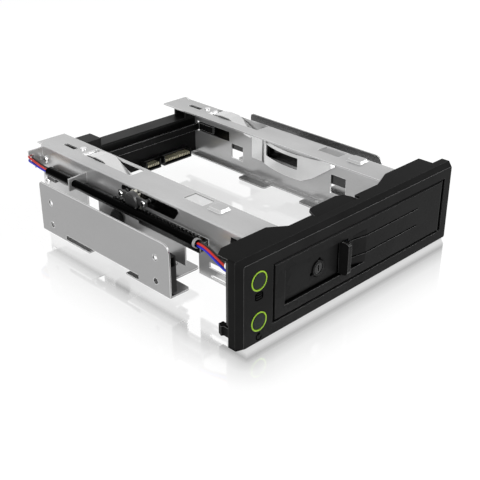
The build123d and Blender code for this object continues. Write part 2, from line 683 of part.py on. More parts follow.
def lock_barrel():
    tube = rod_y(LOCK_RADIUS + BARREL_WALL, LOCK_X, (PANEL_DEPTH, DOOR_THICKNESS + 0.2), LOCK_Z)
    flange_radius = LOCK_RADIUS + BARREL_WALL + LOCK_FLANGE
    flange = rod_y(flange_radius, LOCK_X, (PANEL_DEPTH - 0.6, PANEL_DEPTH), LOCK_Z)
    flange = chamfer(flange.faces().sort_by(Axis.Y)[0].edges(), 0.3)
    return tube + flange - rod_y(LOCK_RADIUS + RUNNING, LOCK_X, (-1, DOOR_THICKNESS + 1), LOCK_Z)


def lock_cylinder():
    """Key cylinder with an open keyway."""
    front = PANEL_DEPTH - 0.4
    cylinder = rod_y(LOCK_RADIUS, LOCK_X, (front, CAM_DEPTH), LOCK_Z)
    keyway_x = (LOCK_X - KEYWAY_WIDTH / 2, LOCK_X + KEYWAY_WIDTH / 2)
    return cylinder - block(keyway_x, (front - 1, DOOR_THICKNESS - 0.6), (LOCK_Z - 1.6, LOCK_Z + 1.6))


def lock_cam():
    half = CAM_WIDTH / 2
    tip = LOCK_X - CAM_LENGTH
    arm = shape(
        (tip, LOCK_Z - half + 0.4), (tip, LOCK_Z + half - 0.4),
        (LOCK_X, LOCK_Z + half + 0.5), (LOCK_X, LOCK_Z - half - 0.5),
    )
    arm += Pos(LOCK_X, LOCK_Z) * Circle(half + 0.7)
    return along_depth(arm, (CAM_DEPTH, CAM_DEPTH + CAM_THICKNESS))


def latch_handle():
    """Upright finger fin with rounded ends, and the stem that draws the bolt."""
    base = PANEL_DEPTH - 0.1
    top = DOOR_MIDDLE + LATCH_HALF
    bottom = DOOR_MIDDLE - LATCH_HALF
    outline = shape((base, bottom), (-LATCH_PROUD, bottom), (-LATCH_PROUD, top), (base, top))
    outline = fillet(outline.vertices().group_by(Axis.X)[0].sort_by(Axis.Y)[0], 2.5)
    outline = fillet(outline.vertices().group_by(Axis.X)[0].sort_by(Axis.Y)[-1], 1.8)
    half = LATCH_THICKNESS / 2
    fin = across(outline, (LATCH_X - half, LATCH_X + half))
    stem_z = (BOLT_Z[0], BOLT_Z[1] - 0.2)
    return fin + block((LATCH_X - 1, LATCH_X + 1), (base - 0.1, BOLT_DEPTH), stem_z)


def latch_bolt():
    tip = RECESS_LEFT - 2.4
    end = LATCH_X + 2.6
    outline = shape(
        (tip, BOLT_BACK), (tip, BOLT_BACK - 0.5), (tip + 1.2, BOLT_DEPTH), (end, BOLT_DEPTH), (end, BOLT_BACK),
    )
    return upright(outline, BOLT_Z)


# Side frames


def side_blank(web, side):
    """Folded sheet of a side frame, before its windows are cut."""
    flange_end = web - side * FLANGE_WIDTH
    points = [(flange_end, CAGE_TOP), (web, CAGE_TOP), (web, SHELF_TOP), (web - side * HEM_WIDTH, SHELF_TOP)]
    section = folded(points, BEND_RADIUS, Side.LEFT if side < 0 else Side.RIGHT)(SHEET)
    sheet = along_depth(section, (FLANGE_FRONT, WEB_REAR))
    return sheet + block(span(web, flange_end), (WEB_REAR - 0.1, FLANGE_REAR), (FLANGE_BOTTOM, CAGE_TOP))


def window(web, depth, z):
    """Cutter through a web."""
    return across(rectangle(depth, z, WINDOW_CORNER), (web - 2, web + 2))


def flange_window(x, depth):
    """Cutter through a top flange."""
    return upright(rectangle(x, depth, WINDOW_CORNER), (FLANGE_BOTTOM - MARGIN, CAGE_TOP + MARGIN))


def spring_centre(side):
    return LEFT_WEB + LEFT_SPRING_INSET if side < 0 else RIGHT_WEB - RIGHT_SPRING_INSET


def flange_cuts(side, window_depth):
    """Cutters for the leaf spring, its rivet and the two openings of a top flange."""
    x = spring_centre(side)
    half = SPRING_WIDTH / 2
    return [
        flange_window((x - half - 0.5, x + half + 0.5), (DRIVE_REAR - 52.5, DRIVE_REAR - 13.6)),
        rod_z(RIVET_RADIUS, x, LEAF_RIVET_DEPTH, (FLANGE_BOTTOM - MARGIN, CAGE_TOP + MARGIN)),
        flange_window((x - half, x - half + 2.8), (DRIVE_REAR - 6.5, DRIVE_REAR + 4)),
        flange_window((x - half + 0.8, x + half + 0.3), window_depth),
    ]


def raised_pad(side, depth):
    """Formed pad on a top flange, and the hollow under it."""
    x = spring_centre(side)
    foot = rectangle((x - 3.7, x + 3.7), depth, 0.8)
    crown = rectangle((x - 3, x + 3), (depth[0] + 0.7, depth[1] - 0.7), 0.8)
    pad = loft([Plane.XY.offset(CAGE_TOP) * foot, Plane.XY.offset(BEZEL_HEIGHT) * crown])
    hollow = upright(crown, (FLANGE_BOTTOM - MARGIN, BEZEL_HEIGHT - STRIP))
    return Pos(0, FACE_Y, 0) * pad, hollow


def hanger():
    """Tab bent out of the left web, which holds the sleeve and lets the bar pass."""
    hook_x = SLEEVE_X - SLEEVE_OUTER - 1.3
    bottom = SLEEVE_Z - 3.4
    outline = shape((LEFT_WEB, bottom), (hook_x, bottom), (hook_x, SLEEVE_Z + 3), (LEFT_WEB, SLEEVE_Z + 3.6))
    bar_side = BAR_OUTER - SLIDE_FIT
    bar_over = BAR_TOP + 0.4
    outline -= shape((bar_side, bottom - 0.2), (LEFT_WEB, bottom - 0.2), (LEFT_WEB, bar_over), (bar_side, bar_over))
    outline -= Pos(SLEEVE_X, SLEEVE_Z) * Circle(SLEEVE_OUTER + RUNNING)
    return along_depth(outline, (HANGER_DEPTH, HANGER_DEPTH + SHEET))


def rear_lip():
    """Lip bent outward at the back edge of the left web, notched for the wires."""
    root = LEFT_WEB + 0.1
    top = CAGE_TOP - 2.1
    ear = top - 2.3
    bottom = SLEEVE_Z - 4
    outline = shape((root, bottom), (NOTCH_X, bottom), (NOTCH_X, ear), (LIP_X, ear), (LIP_X, top), (root, top))
    return along_depth(outline, (WEB_REAR - SHEET, WEB_REAR))


def hem_rivet_x(web, side):
    return web - side * (HEM_WIDTH - 1.4)


def rivet_hole(web, side, depth):
    """Cutter for the rivet that joins a hem to the shelf below it."""
    return rod_z(RIVET_RADIUS, hem_rivet_x(web, side), depth, (SHELF_Z - MARGIN, DRIVE_FLOOR + MARGIN))


def shelf_rivet(web, side, depth):
    x = hem_rivet_x(web, side)
    head = rod_z(RIVET_HEAD_RADIUS, x, depth, (SHELF_Z - RIVET_HEAD, SHELF_Z))
    return head + rod_z(RIVET_RADIUS, x, depth, (SHELF_Z, DRIVE_FLOOR))


def shelf_rivets():
    left = [shelf_rivet(LEFT_WEB, -1, depth) for depth in LEFT_RIVETS]
    right = [shelf_rivet(RIGHT_WEB, 1, depth) for depth in RIGHT_RIVETS]
    return group_of(left + right)


def frame_holes(web, side, rivets):
    """Cutters for the screws and rivets of a side frame."""
    through = (web - 2, web + 2)
    holes = [rod_x(WALL_SCREW_RADIUS, through, WALL_SCREW_DEPTH, z) for z in WALL_SCREW_Z]
    holes.append(rod_x(1.0, through, LUG_SCREW_DEPTH, LUG_SCREW_Z))
    return holes + [rivet_hole(web, side, depth) for depth in rivets]


def left_side_frame():
    frame = side_blank(LEFT_WEB, -1)
    inside = (LEFT_WEB - 1, LEFT_WEB + HEM_WIDTH + 0.5)
    cross_slot = (CROSS_BAR_DEPTH - EJECT_TRAVEL - MARGIN, CROSS_BAR_REAR + MARGIN)
    cuts = flange_cuts(-1, (52.0, 65.0)) + frame_holes(LEFT_WEB, -1, LEFT_RIVETS) + [
        block(inside, (0, 66.0), (0, 11.8)),
        block(inside, (46.7, 56.0), (0, 26.0)),
        window(LEFT_WEB, (DRIVE_REAR - 33.6, DRIVE_REAR - 24.6), (DRIVE_FLOOR + 4.4, DRIVE_TOP - 6.2)),
        window(LEFT_WEB, (29.0, 39.8), (17.2, 20.2)),
        window(LEFT_WEB, (29.8, 38.8), (13.0, 14.2)),
        window(LEFT_WEB, cross_slot, CROSS_SLOT_Z),
        rod_x(BUMPER_NECK, (LEFT_WEB - 1, LEFT_WEB + 2), BUMPER_DEPTH, BUMPER_Z),
    ]
    for cut in cuts:
        frame -= cut
    pad, hollow = raised_pad(-1, (40.4, 49.0))
    return (frame + pad - hollow) + rear_lip() + hanger()


def right_side_frame():
    frame = side_blank(RIGHT_WEB, 1)
    arm_slot = (CROSS_BAR_DEPTH - ARM_LENGTH - EJECT_TRAVEL - MARGIN, CROSS_BAR_REAR + MARGIN)
    cuts = flange_cuts(1, (46.0, 60.0)) + frame_holes(RIGHT_WEB, 1, RIGHT_RIVETS) + [
        window(RIGHT_WEB, (46.7, 56.7), (15.5, 26.0)),
        window(RIGHT_WEB, (DRIVE_REAR - 32.3, DRIVE_REAR - 23.0), (DRIVE_FLOOR + 5.2, DRIVE_FLOOR + 14.0)),
        window(RIGHT_WEB, (BOW_FRONT + 16, BOW_REAR - 3), (BOW_BOTTOM + 3.5, BOW_TOP - 2.8)),
        window(RIGHT_WEB, arm_slot, CROSS_SLOT_Z),
    ]
    for cut in cuts:
        frame -= cut
    pad, hollow = raised_pad(1, (32.0, 41.0))
    return frame + pad - hollow


# Springs, bumpers and their rivets


def leaf_spring(side):
    """Leaf that rises through the flange and presses down on the drive."""
    seat = FLANGE_BOTTOM - STRIP
    end = DRIVE_REAR
    points = [
        (end - 4.0, seat), (end - 14.4, seat), (end - 18.0, CAGE_TOP - 0.2), (end - 24.0, CAGE_TOP + 0.6),
        (end - 30.0, CAGE_TOP + 0.4), (end - 35.5, CAGE_TOP - 2.4), (end - 42.5, SPRING_LOW + 0.6),
        (end - 46.5, SPRING_LOW), (end - 51.0, SPRING_LOW + 2.4),
    ]
    x = spring_centre(side)
    section = folded(points, 1.2, Side.RIGHT)(STRIP)
    leaf = across(section, (x - SPRING_WIDTH / 2, x + SPRING_WIDTH / 2))
    return leaf - rod_z(RIVET_RADIUS, x, LEAF_RIVET_DEPTH, (seat - MARGIN, FLANGE_BOTTOM + MARGIN))


def leaf_rivet(side):
    x = spring_centre(side)
    shank = rod_z(RIVET_RADIUS, x, LEAF_RIVET_DEPTH, (FLANGE_BOTTOM - STRIP, CAGE_TOP))
    return shank + rod_z(RIVET_HEAD_RADIUS, x, LEAF_RIVET_DEPTH, (CAGE_TOP, CAGE_TOP + RIVET_HEAD))


def side_bow_spring():
    """Bowed strip on the right web that steadies the drive sideways, cut out in its middle."""
    inner = RIGHT_WEB - SHEET
    middle = (BOW_FRONT + BOW_REAR) / 2 - 4
    foot = Polyline((inner, BOW_REAR + 8), (inner, BOW_REAR))
    bow = ThreePointArc((inner, BOW_REAR), (inner - BOW_DEPTH, middle), (inner - 0.3, BOW_FRONT))
    face = make_face(offset(Wire(foot.edges() + bow.edges()), amount=STRIP, side=Side.RIGHT))
    strip = upright(face, (BOW_BOTTOM, BOW_TOP))
    reach = (inner - BOW_DEPTH - 2, inner + 0.1)
    strip -= across(rectangle((BOW_FRONT + 21, BOW_REAR - 5), (BOW_BOTTOM + 5.6, BOW_TOP - 1.9), WINDOW_CORNER), reach)
    tip = shape(
        (BOW_FRONT - 2, BOW_BOTTOM - 1), (BOW_FRONT + 21, BOW_BOTTOM - 1), (BOW_FRONT + 12, BOW_BOTTOM + 3),
        (BOW_FRONT + 5, BOW_BOTTOM + 8), (BOW_FRONT, BOW_TOP - 2.2), (BOW_FRONT - 2, BOW_TOP - 2.2),
    )
    return strip - across(tip, reach)


def side_bumper():
    """Rubber plug in the left web that cushions the drive, with a sloped outer head."""
    head = rod_x(BUMPER_HEAD, (LEFT_WEB - BUMPER_PROUD, LEFT_WEB), BUMPER_DEPTH, BUMPER_Z)
    head = chamfer(head.faces().sort_by(Axis.X)[0].edges(), 0.9)
    return head + rod_x(BUMPER_NECK - RUNNING, (LEFT_WEB, LEFT_WEB + SHEET), BUMPER_DEPTH, BUMPER_Z)


# Mount brackets


def shelf(x, depth):
    """Flat shelf from one X to the other, with rounded corners at the second."""
    face = shape((x[0], depth[0]), (x[0], depth[1]), (x[1], depth[1]), (x[1], depth[0]))
    free = face.vertices().sort_by(Axis.X)[2:] if x[1] > x[0] else face.vertices().sort_by(Axis.X)[:2]
    return upright(fillet(free, 2.0), (SHELF_Z, SHELF_TOP))


def mount_plate(outer, side, depth):
    """Upright plate with the bay's screw holes, raised off the shelf along its middle."""
    front, rear = depth
    outline = shape((front, SHELF_Z), (rear, SHELF_Z), (rear, PLATE_TOP), (front, PLATE_TOP))
    outline = fillet(outline.vertices().group_by(Axis.Y)[-1].sort_by(Axis.X)[0], 4.5)
    outline = fillet(outline.vertices().group_by(Axis.Y)[-1].sort_by(Axis.X)[-1], 1.8)
    outline -= rectangle((front + 21.8, rear - 20), (SHELF_Z - MARGIN, SHELF_Z + RELIEF))
    plate = across(outline, span(outer, outer - side * SHEET))
    for hole_depth in (FIRST_HOLE_DEPTH, FIRST_HOLE_DEPTH + BAY_HOLE_PITCH):
        for z in (LOWER_HOLE_Z, LOWER_HOLE_Z + BAY_HOLE_RISE):
            plate -= rod_x(BAY_HOLE_RADIUS, (outer - 1, outer + 1), hole_depth, z)
    return plate


def mount_bracket(side, depth, feet, tabs, rivets):
    """Plate on two feet, with tabs that carry the web and the drive."""
    outer = side * PLATE_X
    web = LEFT_WEB if side < 0 else RIGHT_WEB
    bracket = mount_plate(outer, side, depth)
    for foot in feet:
        bracket += shelf((outer, outer - side * FOOT_WIDTH), foot)
    for tab in tabs:
        bracket += shelf((outer - side * 2, web - side * FOOT_REACH), tab)
    for rivet in rivets:
        bracket -= rivet_hole(web, side, rivet)
    return bracket


def bracket_pad(side, front):
    """Black buffer on the inner face of a mount plate, with a hole near its top."""
    plate = side * (PLATE_X - SHEET)
    free = plate - side * PAD_THICKNESS
    bottom = SHELF_TOP + 1.2
    top = bottom + BRACKET_PAD_HEIGHT
    outline = shape((plate, bottom), (free, bottom), (free, top), (plate, top))
    corner = outline.vertices().group_by(Axis.Y)[-1].sort_by(Axis.X)[-1 if side < 0 else 0]
    outline = fillet(corner, 2.2)
    outline -= rectangle(span(plate - side * 0.7, plate - side * 2.9), (top - 6, top - 1.5))
    return along_depth(outline, (front + 0.6, front + 6.2))


# Rear wall and its board

DATA_WIDTH = CONTACT_PITCH * (DATA_COUNT + 1.6)
POWER_WIDTH = CONTACT_PITCH * (POWER_COUNT + 1.6)
SOCKET_SPAN = DATA_WIDTH + SOCKET_GAP + POWER_WIDTH
DATA_X = SOCKET_X - SOCKET_SPAN / 2 + DATA_WIDTH / 2
POWER_X = SOCKET_X + SOCKET_SPAN / 2 - POWER_WIDTH / 2
SOCKET_LOW = SOCKET_Z - SOCKET_HEIGHT / 2
SOCKET_HIGH = SOCKET_Z + SOCKET_HEIGHT / 2


def wall_ear(x):
    """Raised end of the wall, folded over under the flange of the cage."""
    front = BOARD_DEPTH - WALL_SHELF
    ear = block(x, (WALL_DEPTH, BOARD_DEPTH), (WALL_TOP - 1, FLANGE_BOTTOM))
    ear += block(x, (front, BOARD_DEPTH), (FLANGE_BOTTOM - WALL_THICKNESS, FLANGE_BOTTOM))
    return ear + block(x, (front, front + WALL_THICKNESS), (WALL_TOP - WALL_THICKNESS, FLANGE_BOTTOM))


def rear_bulkhead():
    left = LEFT_WEB + SHEET
    right = RIGHT_WEB - SHEET
    wall = block((left, right), (WALL_DEPTH, BOARD_DEPTH), (WALL_BOTTOM, WALL_TOP))
    shelf_depth = (BOARD_DEPTH - WALL_SHELF, BOARD_DEPTH)
    wall += block((left, right), shelf_depth, (WALL_TOP - WALL_THICKNESS, WALL_TOP))
    wall += wall_ear((left + EAR_GAP, left + LEFT_EAR))
    wall += wall_ear((right - RIGHT_EAR, right - EAR_GAP))
    for x in ((left, left + WALL_THICKNESS), (right - WALL_THICKNESS, right)):
        for z in WALL_SCREW_Z:
            wall += block(x, (WALL_DEPTH, WALL_SCREW_DEPTH + 2.6), (z - 2.8, z + 2.8))
            wall -= rod_x(WALL_SCREW_RADIUS - 0.2, (x[0] - 1, x[1] + 1), WALL_SCREW_DEPTH, z)
    opening = (SOCKET_X - SOCKET_SPAN / 2 - 0.2, SOCKET_X + SOCKET_SPAN / 2 + 0.2)
    return wall - block(opening, (WALL_DEPTH - 1, BOARD_DEPTH + 1), (SOCKET_LOW - 0.2, SOCKET_HIGH + 0.2))


def backplane_board():
    board = block(BOARD_X, (BOARD_DEPTH, REAR_BOARD), (WALL_BOTTOM - 0.6, WALL_TOP - 2))
    for x, z in BACK_SCREWS:
        board -= rod_y(1.2, x, (BOARD_DEPTH - 1, REAR_BOARD + 1), z)
    return board


def socket_shell(centre, width):
    """Open-fronted shell with a step in its top edge, and the contact tongue across its middle."""
    half = width / 2
    shell = block((centre - half, centre + half), (SOCKET_FRONT, BOARD_DEPTH), (SOCKET_LOW, SOCKET_HIGH))
    inside = (centre - half + SOCKET_WALL, centre + half - SOCKET_WALL)
    inside_z = (SOCKET_LOW + SOCKET_WALL, SOCKET_HIGH - SOCKET_WALL)
    shell -= block(inside, (SOCKET_FRONT - 1, BOARD_DEPTH - 1.6), inside_z)
    shell -= block(inside, (SOCKET_FRONT - 1, SOCKET_FRONT + SOCKET_LIP), (SOCKET_Z, SOCKET_HIGH + 1))
    tongue_x = (centre - half + 1.3, centre + half - 1.3)
    tongue_z = (SOCKET_Z - TONGUE_HALF, SOCKET_Z + TONGUE_HALF)
    return shell + block(tongue_x, (SOCKET_FRONT + 0.4, BOARD_DEPTH - 1.5), tongue_z)


def drive_socket():
    bridge = block((DATA_X, POWER_X), (BOARD_DEPTH - 2.4, BOARD_DEPTH), (SOCKET_LOW, SOCKET_HIGH))
    inside_z = (SOCKET_LOW + SOCKET_WALL, SOCKET_HIGH - SOCKET_WALL)
    bridge -= block((DATA_X, POWER_X), (BOARD_DEPTH - 4, BOARD_DEPTH - 1.6), inside_z)
    return socket_shell(DATA_X, DATA_WIDTH) + socket_shell(POWER_X, POWER_WIDTH) + bridge


def row(centre, pins):
    return [centre + (i - (pins - 1) / 2) * CONTACT_PITCH for i in range(pins)]


def contact(x):
    depth = (SOCKET_FRONT + 0.6, BOARD_DEPTH - 1.6)
    seat = SOCKET_Z + TONGUE_HALF
    return block((x - CONTACT_HALF, x + CONTACT_HALF), depth, (seat, seat + CONTACT_HEIGHT))


def socket_contacts():
    return group_of(contact(x) for x in row(DATA_X, DATA_COUNT) + row(POWER_X, POWER_COUNT))


def rear_plug(centre, width, height):
    """Shrouded plug on the back of the board, open to the rear."""
    x = (centre - width / 2, centre + width / 2)
    z = (REAR_PLUG_Z - height / 2, REAR_PLUG_Z + height / 2)
    inside_x = (x[0] + SOCKET_WALL, x[1] - SOCKET_WALL)
    inside_z = (z[0] + SOCKET_WALL, z[1] - SOCKET_WALL)
    return block(x, (REAR_BOARD, FLANGE_REAR), z) - block(inside_x, (REAR_BOARD + 1.2, FLANGE_REAR + 1), inside_z)


def rear_data_plug():
    centre = SOCKET_X - 15.6
    tongue_z = (REAR_PLUG_Z - TONGUE_HALF, REAR_PLUG_Z + TONGUE_HALF)
    tongue = block((centre - 4.4, centre + 4.4), (REAR_BOARD + 1, FLANGE_REAR - 0.8), tongue_z)
    return rear_plug(centre, 11.4, 5.6) + tongue


def rear_power_plug():
    centre = SOCKET_X + 6.4
    plug = rear_plug(centre, 21.0, 8.4)
    for i in range(4):
        x = centre + (i - 1.5) * PIN_PITCH
        pin_z = (REAR_PLUG_Z - 0.4, REAR_PLUG_Z + 0.4)
        plug += block((x - 0.4, x + 0.4), (REAR_BOARD + 1, FLANGE_REAR - 0.8), pin_z)
    return plug


def wire_header():
    depth = (REAR_BOARD, REAR_BOARD + HEADER_LENGTH)
    return block(HEADER_X, depth, (HEADER_Z - HEADER_HALF, HEADER_Z + HEADER_HALF))


# Ejector


def tooth_flank(radius, half_at_pitch, base):
    """Half angle of a pinion tooth at this radius."""
    pressure = acos(min(1.0, base / radius))
    at_pitch = acos(base / PINION_RADIUS)
    return half_at_pitch / PINION_RADIUS + tan(at_pitch) - at_pitch - (tan(pressure) - pressure)


def damper_pinion():
    """Ten-tooth gear on a shaft that runs in the damper."""
    base = PINION_RADIUS * cos(radians(PRESSURE_ANGLE))
    root = PINION_RADIUS - 0.85
    tip = PINION_RADIUS + MODULE
    half = PITCH / 4 - RACK_BACKLASH
    points = []
    for i in range(PINION_TEETH):
        middle = -pi / 2 + 2 * pi * i / PINION_TEETH
        for radius in (root, base, PINION_RADIUS, tip):
            points.append((radius, middle - tooth_flank(max(radius, base), half, base)))
        for radius in (tip, PINION_RADIUS, base, root):
            points.append((radius, middle + tooth_flank(max(radius, base), half, base)))
    outline = shape(*[(PINION_DEPTH + r * cos(a), PINION_Z + r * sin(a)) for r, a in points])
    gear = across(outline, (BAR_X - TOOTH_WIDTH, BAR_X - 0.2))
    return gear + rod_x(SHAFT_RADIUS, (BAR_X - TOOTH_WIDTH - 2.0, BAR_X - 0.3), PINION_DEPTH, PINION_Z)


def rack_outline():
    """Toothed top of the bar, with a gap under the middle of the pinion."""
    half = PITCH / 4 - RACK_BACKLASH
    slope = tan(radians(PRESSURE_ANGLE))
    tip_z = PITCH_LINE_Z + RACK_TIP
    root_half = half + slope * (PITCH_LINE_Z - BAR_TOP)
    tip_half = half - slope * (tip_z - PITCH_LINE_Z)
    count = int((RACK_REAR - RACK_FRONT) / PITCH)
    gap = PINION_DEPTH - PITCH / 2
    first = gap - PITCH * int((gap - RACK_FRONT) / PITCH)
    points = [(RACK_FRONT, BAR_TOP - 0.4), (RACK_FRONT, BAR_TOP)]
    for i in range(count):
        middle = first + PITCH * i
        points += [
            (middle - root_half, BAR_TOP), (middle - tip_half, tip_z),
            (middle + tip_half, tip_z), (middle + root_half, BAR_TOP),
        ]
    points += [(RACK_REAR, BAR_TOP), (RACK_REAR, BAR_TOP - 0.4)]
    return shape(*points)


def rack_bar():
    """Bar in the left channel, toothed on its inner half."""
    bar = block((BAR_OUTER, BAR_X), (BAR_FRONT, CROSS_BAR_REAR), (BAR_BOTTOM, BAR_TOP))
    bar += across(rack_outline(), (BAR_X - TOOTH_WIDTH + 0.1, BAR_X - 0.1))
    bar += block((BAR_OUTER, BAR_OUTER + 0.7), (BAR_FRONT, CHANNEL_REAR), (BAR_TOP - 0.1, BAR_TOP + 0.7))
    foot = (CROSS_BAR_Z, BAR_BOTTOM + 0.1)
    return bar + block((BAR_OUTER + 1, BAR_X), (CROSS_BAR_DEPTH - 6, CROSS_BAR_REAR), foot)


def ejector_cross_bar():
    """Strip behind the drive, with a short arm in the slot of the right web."""
    z = (CROSS_BAR_Z, CROSS_BAR_TOP)
    bar = block((BAR_X, SLIDE_INNER), (CROSS_BAR_DEPTH, CROSS_BAR_REAR), z)
    return bar + block((RIGHT_WEB - SHEET, SLIDE_INNER), (CROSS_BAR_DEPTH - ARM_LENGTH, CROSS_BAR_REAR), z)


def fork():
    """Foot of the slide plate, with the slot that the crank pin runs in."""
    back = FORK_CENTRE + FORK_HALF + 1.5
    front = FORK_CENTRE - FORK_HALF - 1.5
    prong = FORK_X[1] - DOOR_SWEEP
    foot = shape(
        (SLIDE_INNER, SLIDE_PLATE_FRONT + 9), (SLIDE_INNER, SLIDE_PLATE_FRONT), (FORK_X[0], back),
        (FORK_X[0], front), (prong, front), (prong, FORK_CENTRE), (FORK_X[1], FORK_CENTRE),
        (FORK_X[1], back), (FORK_X[0] + 3.4, back), (SLIDE_OUTER + 2.2, SLIDE_PLATE_FRONT + 9),
    )
    foot -= rectangle((FORK_X[0] + 1.8, FORK_X[1] + 1), (FORK_CENTRE - FORK_HALF, FORK_CENTRE + FORK_HALF))
    return upright(foot, (FORK_Z, FORK_Z + LINK_THICKNESS))


def slide_plate():
    """Plate outside the right web, with a fork in front that the door's crank draws."""
    low = CROSS_BAR_Z - 5
    high = CROSS_BAR_Z + 7
    outline = shape(
        (SLIDE_PLATE_FRONT, FORK_Z), (62.0, FORK_Z), (70.0, low), (CROSS_BAR_REAR, low),
        (CROSS_BAR_REAR, high), (66.0, high), (60.0, high - 3), (40.0, high - 3),
        (30.0, high - 5), (SLIDE_PLATE_FRONT, high - 5),
    )
    return across(outline, (SLIDE_INNER, SLIDE_OUTER)) + fork()


# Channel, damper and its bracket


def left_slide_channel():
    """Channel that carries the front of the rack bar, fixed to the web by its inner wall."""
    inner = LEFT_WEB - SLIDE_FIT
    outer = CHANNEL_OUTER + CHANNEL_WALL
    floor = BAR_BOTTOM - SLIDE_FIT
    top = PITCH_LINE_Z + 0.6
    section = shape(
        (LEFT_WEB, PITCH_LINE_Z), (LEFT_WEB, floor - CHANNEL_WALL), (CHANNEL_OUTER, floor - CHANNEL_WALL),
        (CHANNEL_OUTER, top), (outer, top), (outer, floor), (inner, floor), (inner, PITCH_LINE_Z),
    )
    return along_depth(section, (CHANNEL_FRONT, CHANNEL_REAR))


def damper_bracket():
    """Dark plate on the web that carries the damper on two posts."""
    low = PINION_Z - 2.2
    high = CAGE_TOP - 1.6
    rear = PINION_DEPTH + 12
    outline = shape((rear - 42.0, high), (rear - 37.5, low), (rear, low), (rear, high))
    plate = across(fillet(outline.vertices(), 1.5), (LEFT_WEB - DAMPER_SHEET, LEFT_WEB))
    for reach in (-POST_OFFSET, POST_OFFSET):
        plate += rod_x(POST_RADIUS, (HOUSING_X[1] - 0.6, LEFT_WEB - 0.1), PINION_DEPTH + reach, POST_Z)
    return plate


def damper_housing():
    body = rod_x(DAMPER_RADIUS, HOUSING_X, PINION_DEPTH, PINION_Z)
    body = chamfer(body.faces().sort_by(Axis.X)[0].edges(), 0.5)
    ears_depth = (PINION_DEPTH - POST_OFFSET - 2.2, PINION_DEPTH + POST_OFFSET + 2.2)
    ears = rectangle(ears_depth, (POST_Z - 1.8, POST_Z + 1.8), 1.4)
    body += across(ears, (HOUSING_X[1] - 1.4, HOUSING_X[1] - 0.6))
    return body - rod_x(SHAFT_RADIUS + RUNNING, (HOUSING_X[1] - 1.9, HOUSING_X[1] + 1), PINION_DEPTH, PINION_Z)


def damper_screws():
    seat = HOUSING_X[1] - 1.4
    return group_of(
        screw_head(PINION_DEPTH + reach, POST_Z, seat, -1, 1.4, 0.7) for reach in (-POST_OFFSET, POST_OFFSET)
    )


# Fasteners


def screw_head(depth, z, seat, side, radius, height):
    """Head with a sloped edge, on a face that looks along X."""
    head = rod_x(radius, span(seat, seat + side * height), depth, z)
    return chamfer(head.faces().sort_by(Axis.X)[0 if side < 0 else -1].edges(), height / 2)


def bulkhead_screw(web, side, z):
    shank_x = span(web, web - side * (SHEET + WALL_THICKNESS))
    shank = rod_x(WALL_SCREW_RADIUS - 0.3, shank_x, WALL_SCREW_DEPTH, z)
    return screw_head(WALL_SCREW_DEPTH, z, web, side, WALL_SCREW_RADIUS + 0.9, 0.9) + shank


def bulkhead_screws():
    left = [bulkhead_screw(LEFT_WEB, -1, z) for z in WALL_SCREW_Z]
    right = [bulkhead_screw(RIGHT_WEB, 1, z) for z in WALL_SCREW_Z]
    return group_of(left + right)


def bezel_screw(web, side):
    seat = web + side * LUG_THICKNESS
    shank = rod_x(RIVET_RADIUS - RUNNING, span(seat, web - side * SHEET), LUG_SCREW_DEPTH, LUG_SCREW_Z)
    return screw_head(LUG_SCREW_DEPTH, LUG_SCREW_Z, seat, side, 1.8, 0.9) + shank


def bezel_screws():
    return group_of([bezel_screw(LEFT_WEB, -1), bezel_screw(RIGHT_WEB, 1)])


def board_screw(x, z, radius, seat, root, shank_radius):
    """Screw that goes in from the back of a board."""
    return rod_y(radius, x, (seat, seat + 1.0), z) + rod_y(shank_radius, x, (root, seat), z)


def board_screws():
    front = [board_screw(x, z, 1.8, PLUG_FRONT, BEZEL_WALL + 1.4, 0.65) for x, z in FRONT_SCREWS]
    back = [board_screw(x, z, 2.1, REAR_BOARD, BOARD_DEPTH, 1.1) for x, z in BACK_SCREWS]
    return group_of(front + back)


def spring_rivets():
    return group_of([leaf_rivet(-1), leaf_rivet(1)])


# Loom


def sleeve():
    tube = rod_y(SLEEVE_OUTER, SLEEVE_X, (SLEEVE_FRONT, SLEEVE_REAR), SLEEVE_Z)
    return tube - rod_y(SLEEVE_INNER, SLEEVE_X, (SLEEVE_FRONT - 1, SLEEVE_REAR + 1), SLEEVE_Z)


def sleeve_clip():
    """Clip on the side of the channel, with a ring round the front of the sleeve."""
    front = SLEEVE_FRONT + 0.8
    ring_rear = front + 1.2
    seat_z = (BAR_TOP + 0.1, SLEEVE_Z)
    clip = rod_y(SLEEVE_OUTER + CHANNEL_WALL, SLEEVE_X, (front, ring_rear), SLEEVE_Z)
    clip += block((CHANNEL_OUTER - 0.4, CHANNEL_OUTER), (front + 0.4, CHANNEL_FRONT + 10.2), seat_z)
    return clip - rod_y(SLEEVE_OUTER + RUNNING, SLEEVE_X, (front - 1, ring_rear + 12), SLEEVE_Z)


# Each wire has its place in the bundle: further left or right, and above or below.
WIRES = {
    "wire_black": (-1, 1),
    "wire_red": (1, 1),
    "wire_yellow": (-1, -1),
    "wire_blue": (1, -1),
}


def wire_points(outward, up):
    """Route of one wire from the rear header, through the sleeve, to the plug behind the bezel."""
    turn = outward * WIRE_SPACING
    rise = up * WIRE_SPACING
    splay = up * WIRE_SPLAY
    behind = REAR_BOARD + HEADER_LENGTH / 2 + turn
    x = SLEEVE_X - turn
    plug_x = PLUG_X - turn
    return [
        (HEADER_X[0], behind, HEADER_Z + rise),
        (HEADER_X[0] - 4.5, behind, HEADER_Z + rise),
        (NOTCH_X - 2.0 - turn, WEB_REAR + 2.1 + turn, SLEEVE_Z + 1.6 + splay),
        (x, SLEEVE_REAR + SLEEVE_FREE, SLEEVE_Z + rise),
        (x, SLEEVE_FRONT - SLEEVE_FREE, SLEEVE_Z + rise),
        (plug_x, PLUG_BACK + 5.5, PLUG_Z + splay),
        (plug_x, PLUG_BACK, PLUG_Z + splay),
    ]


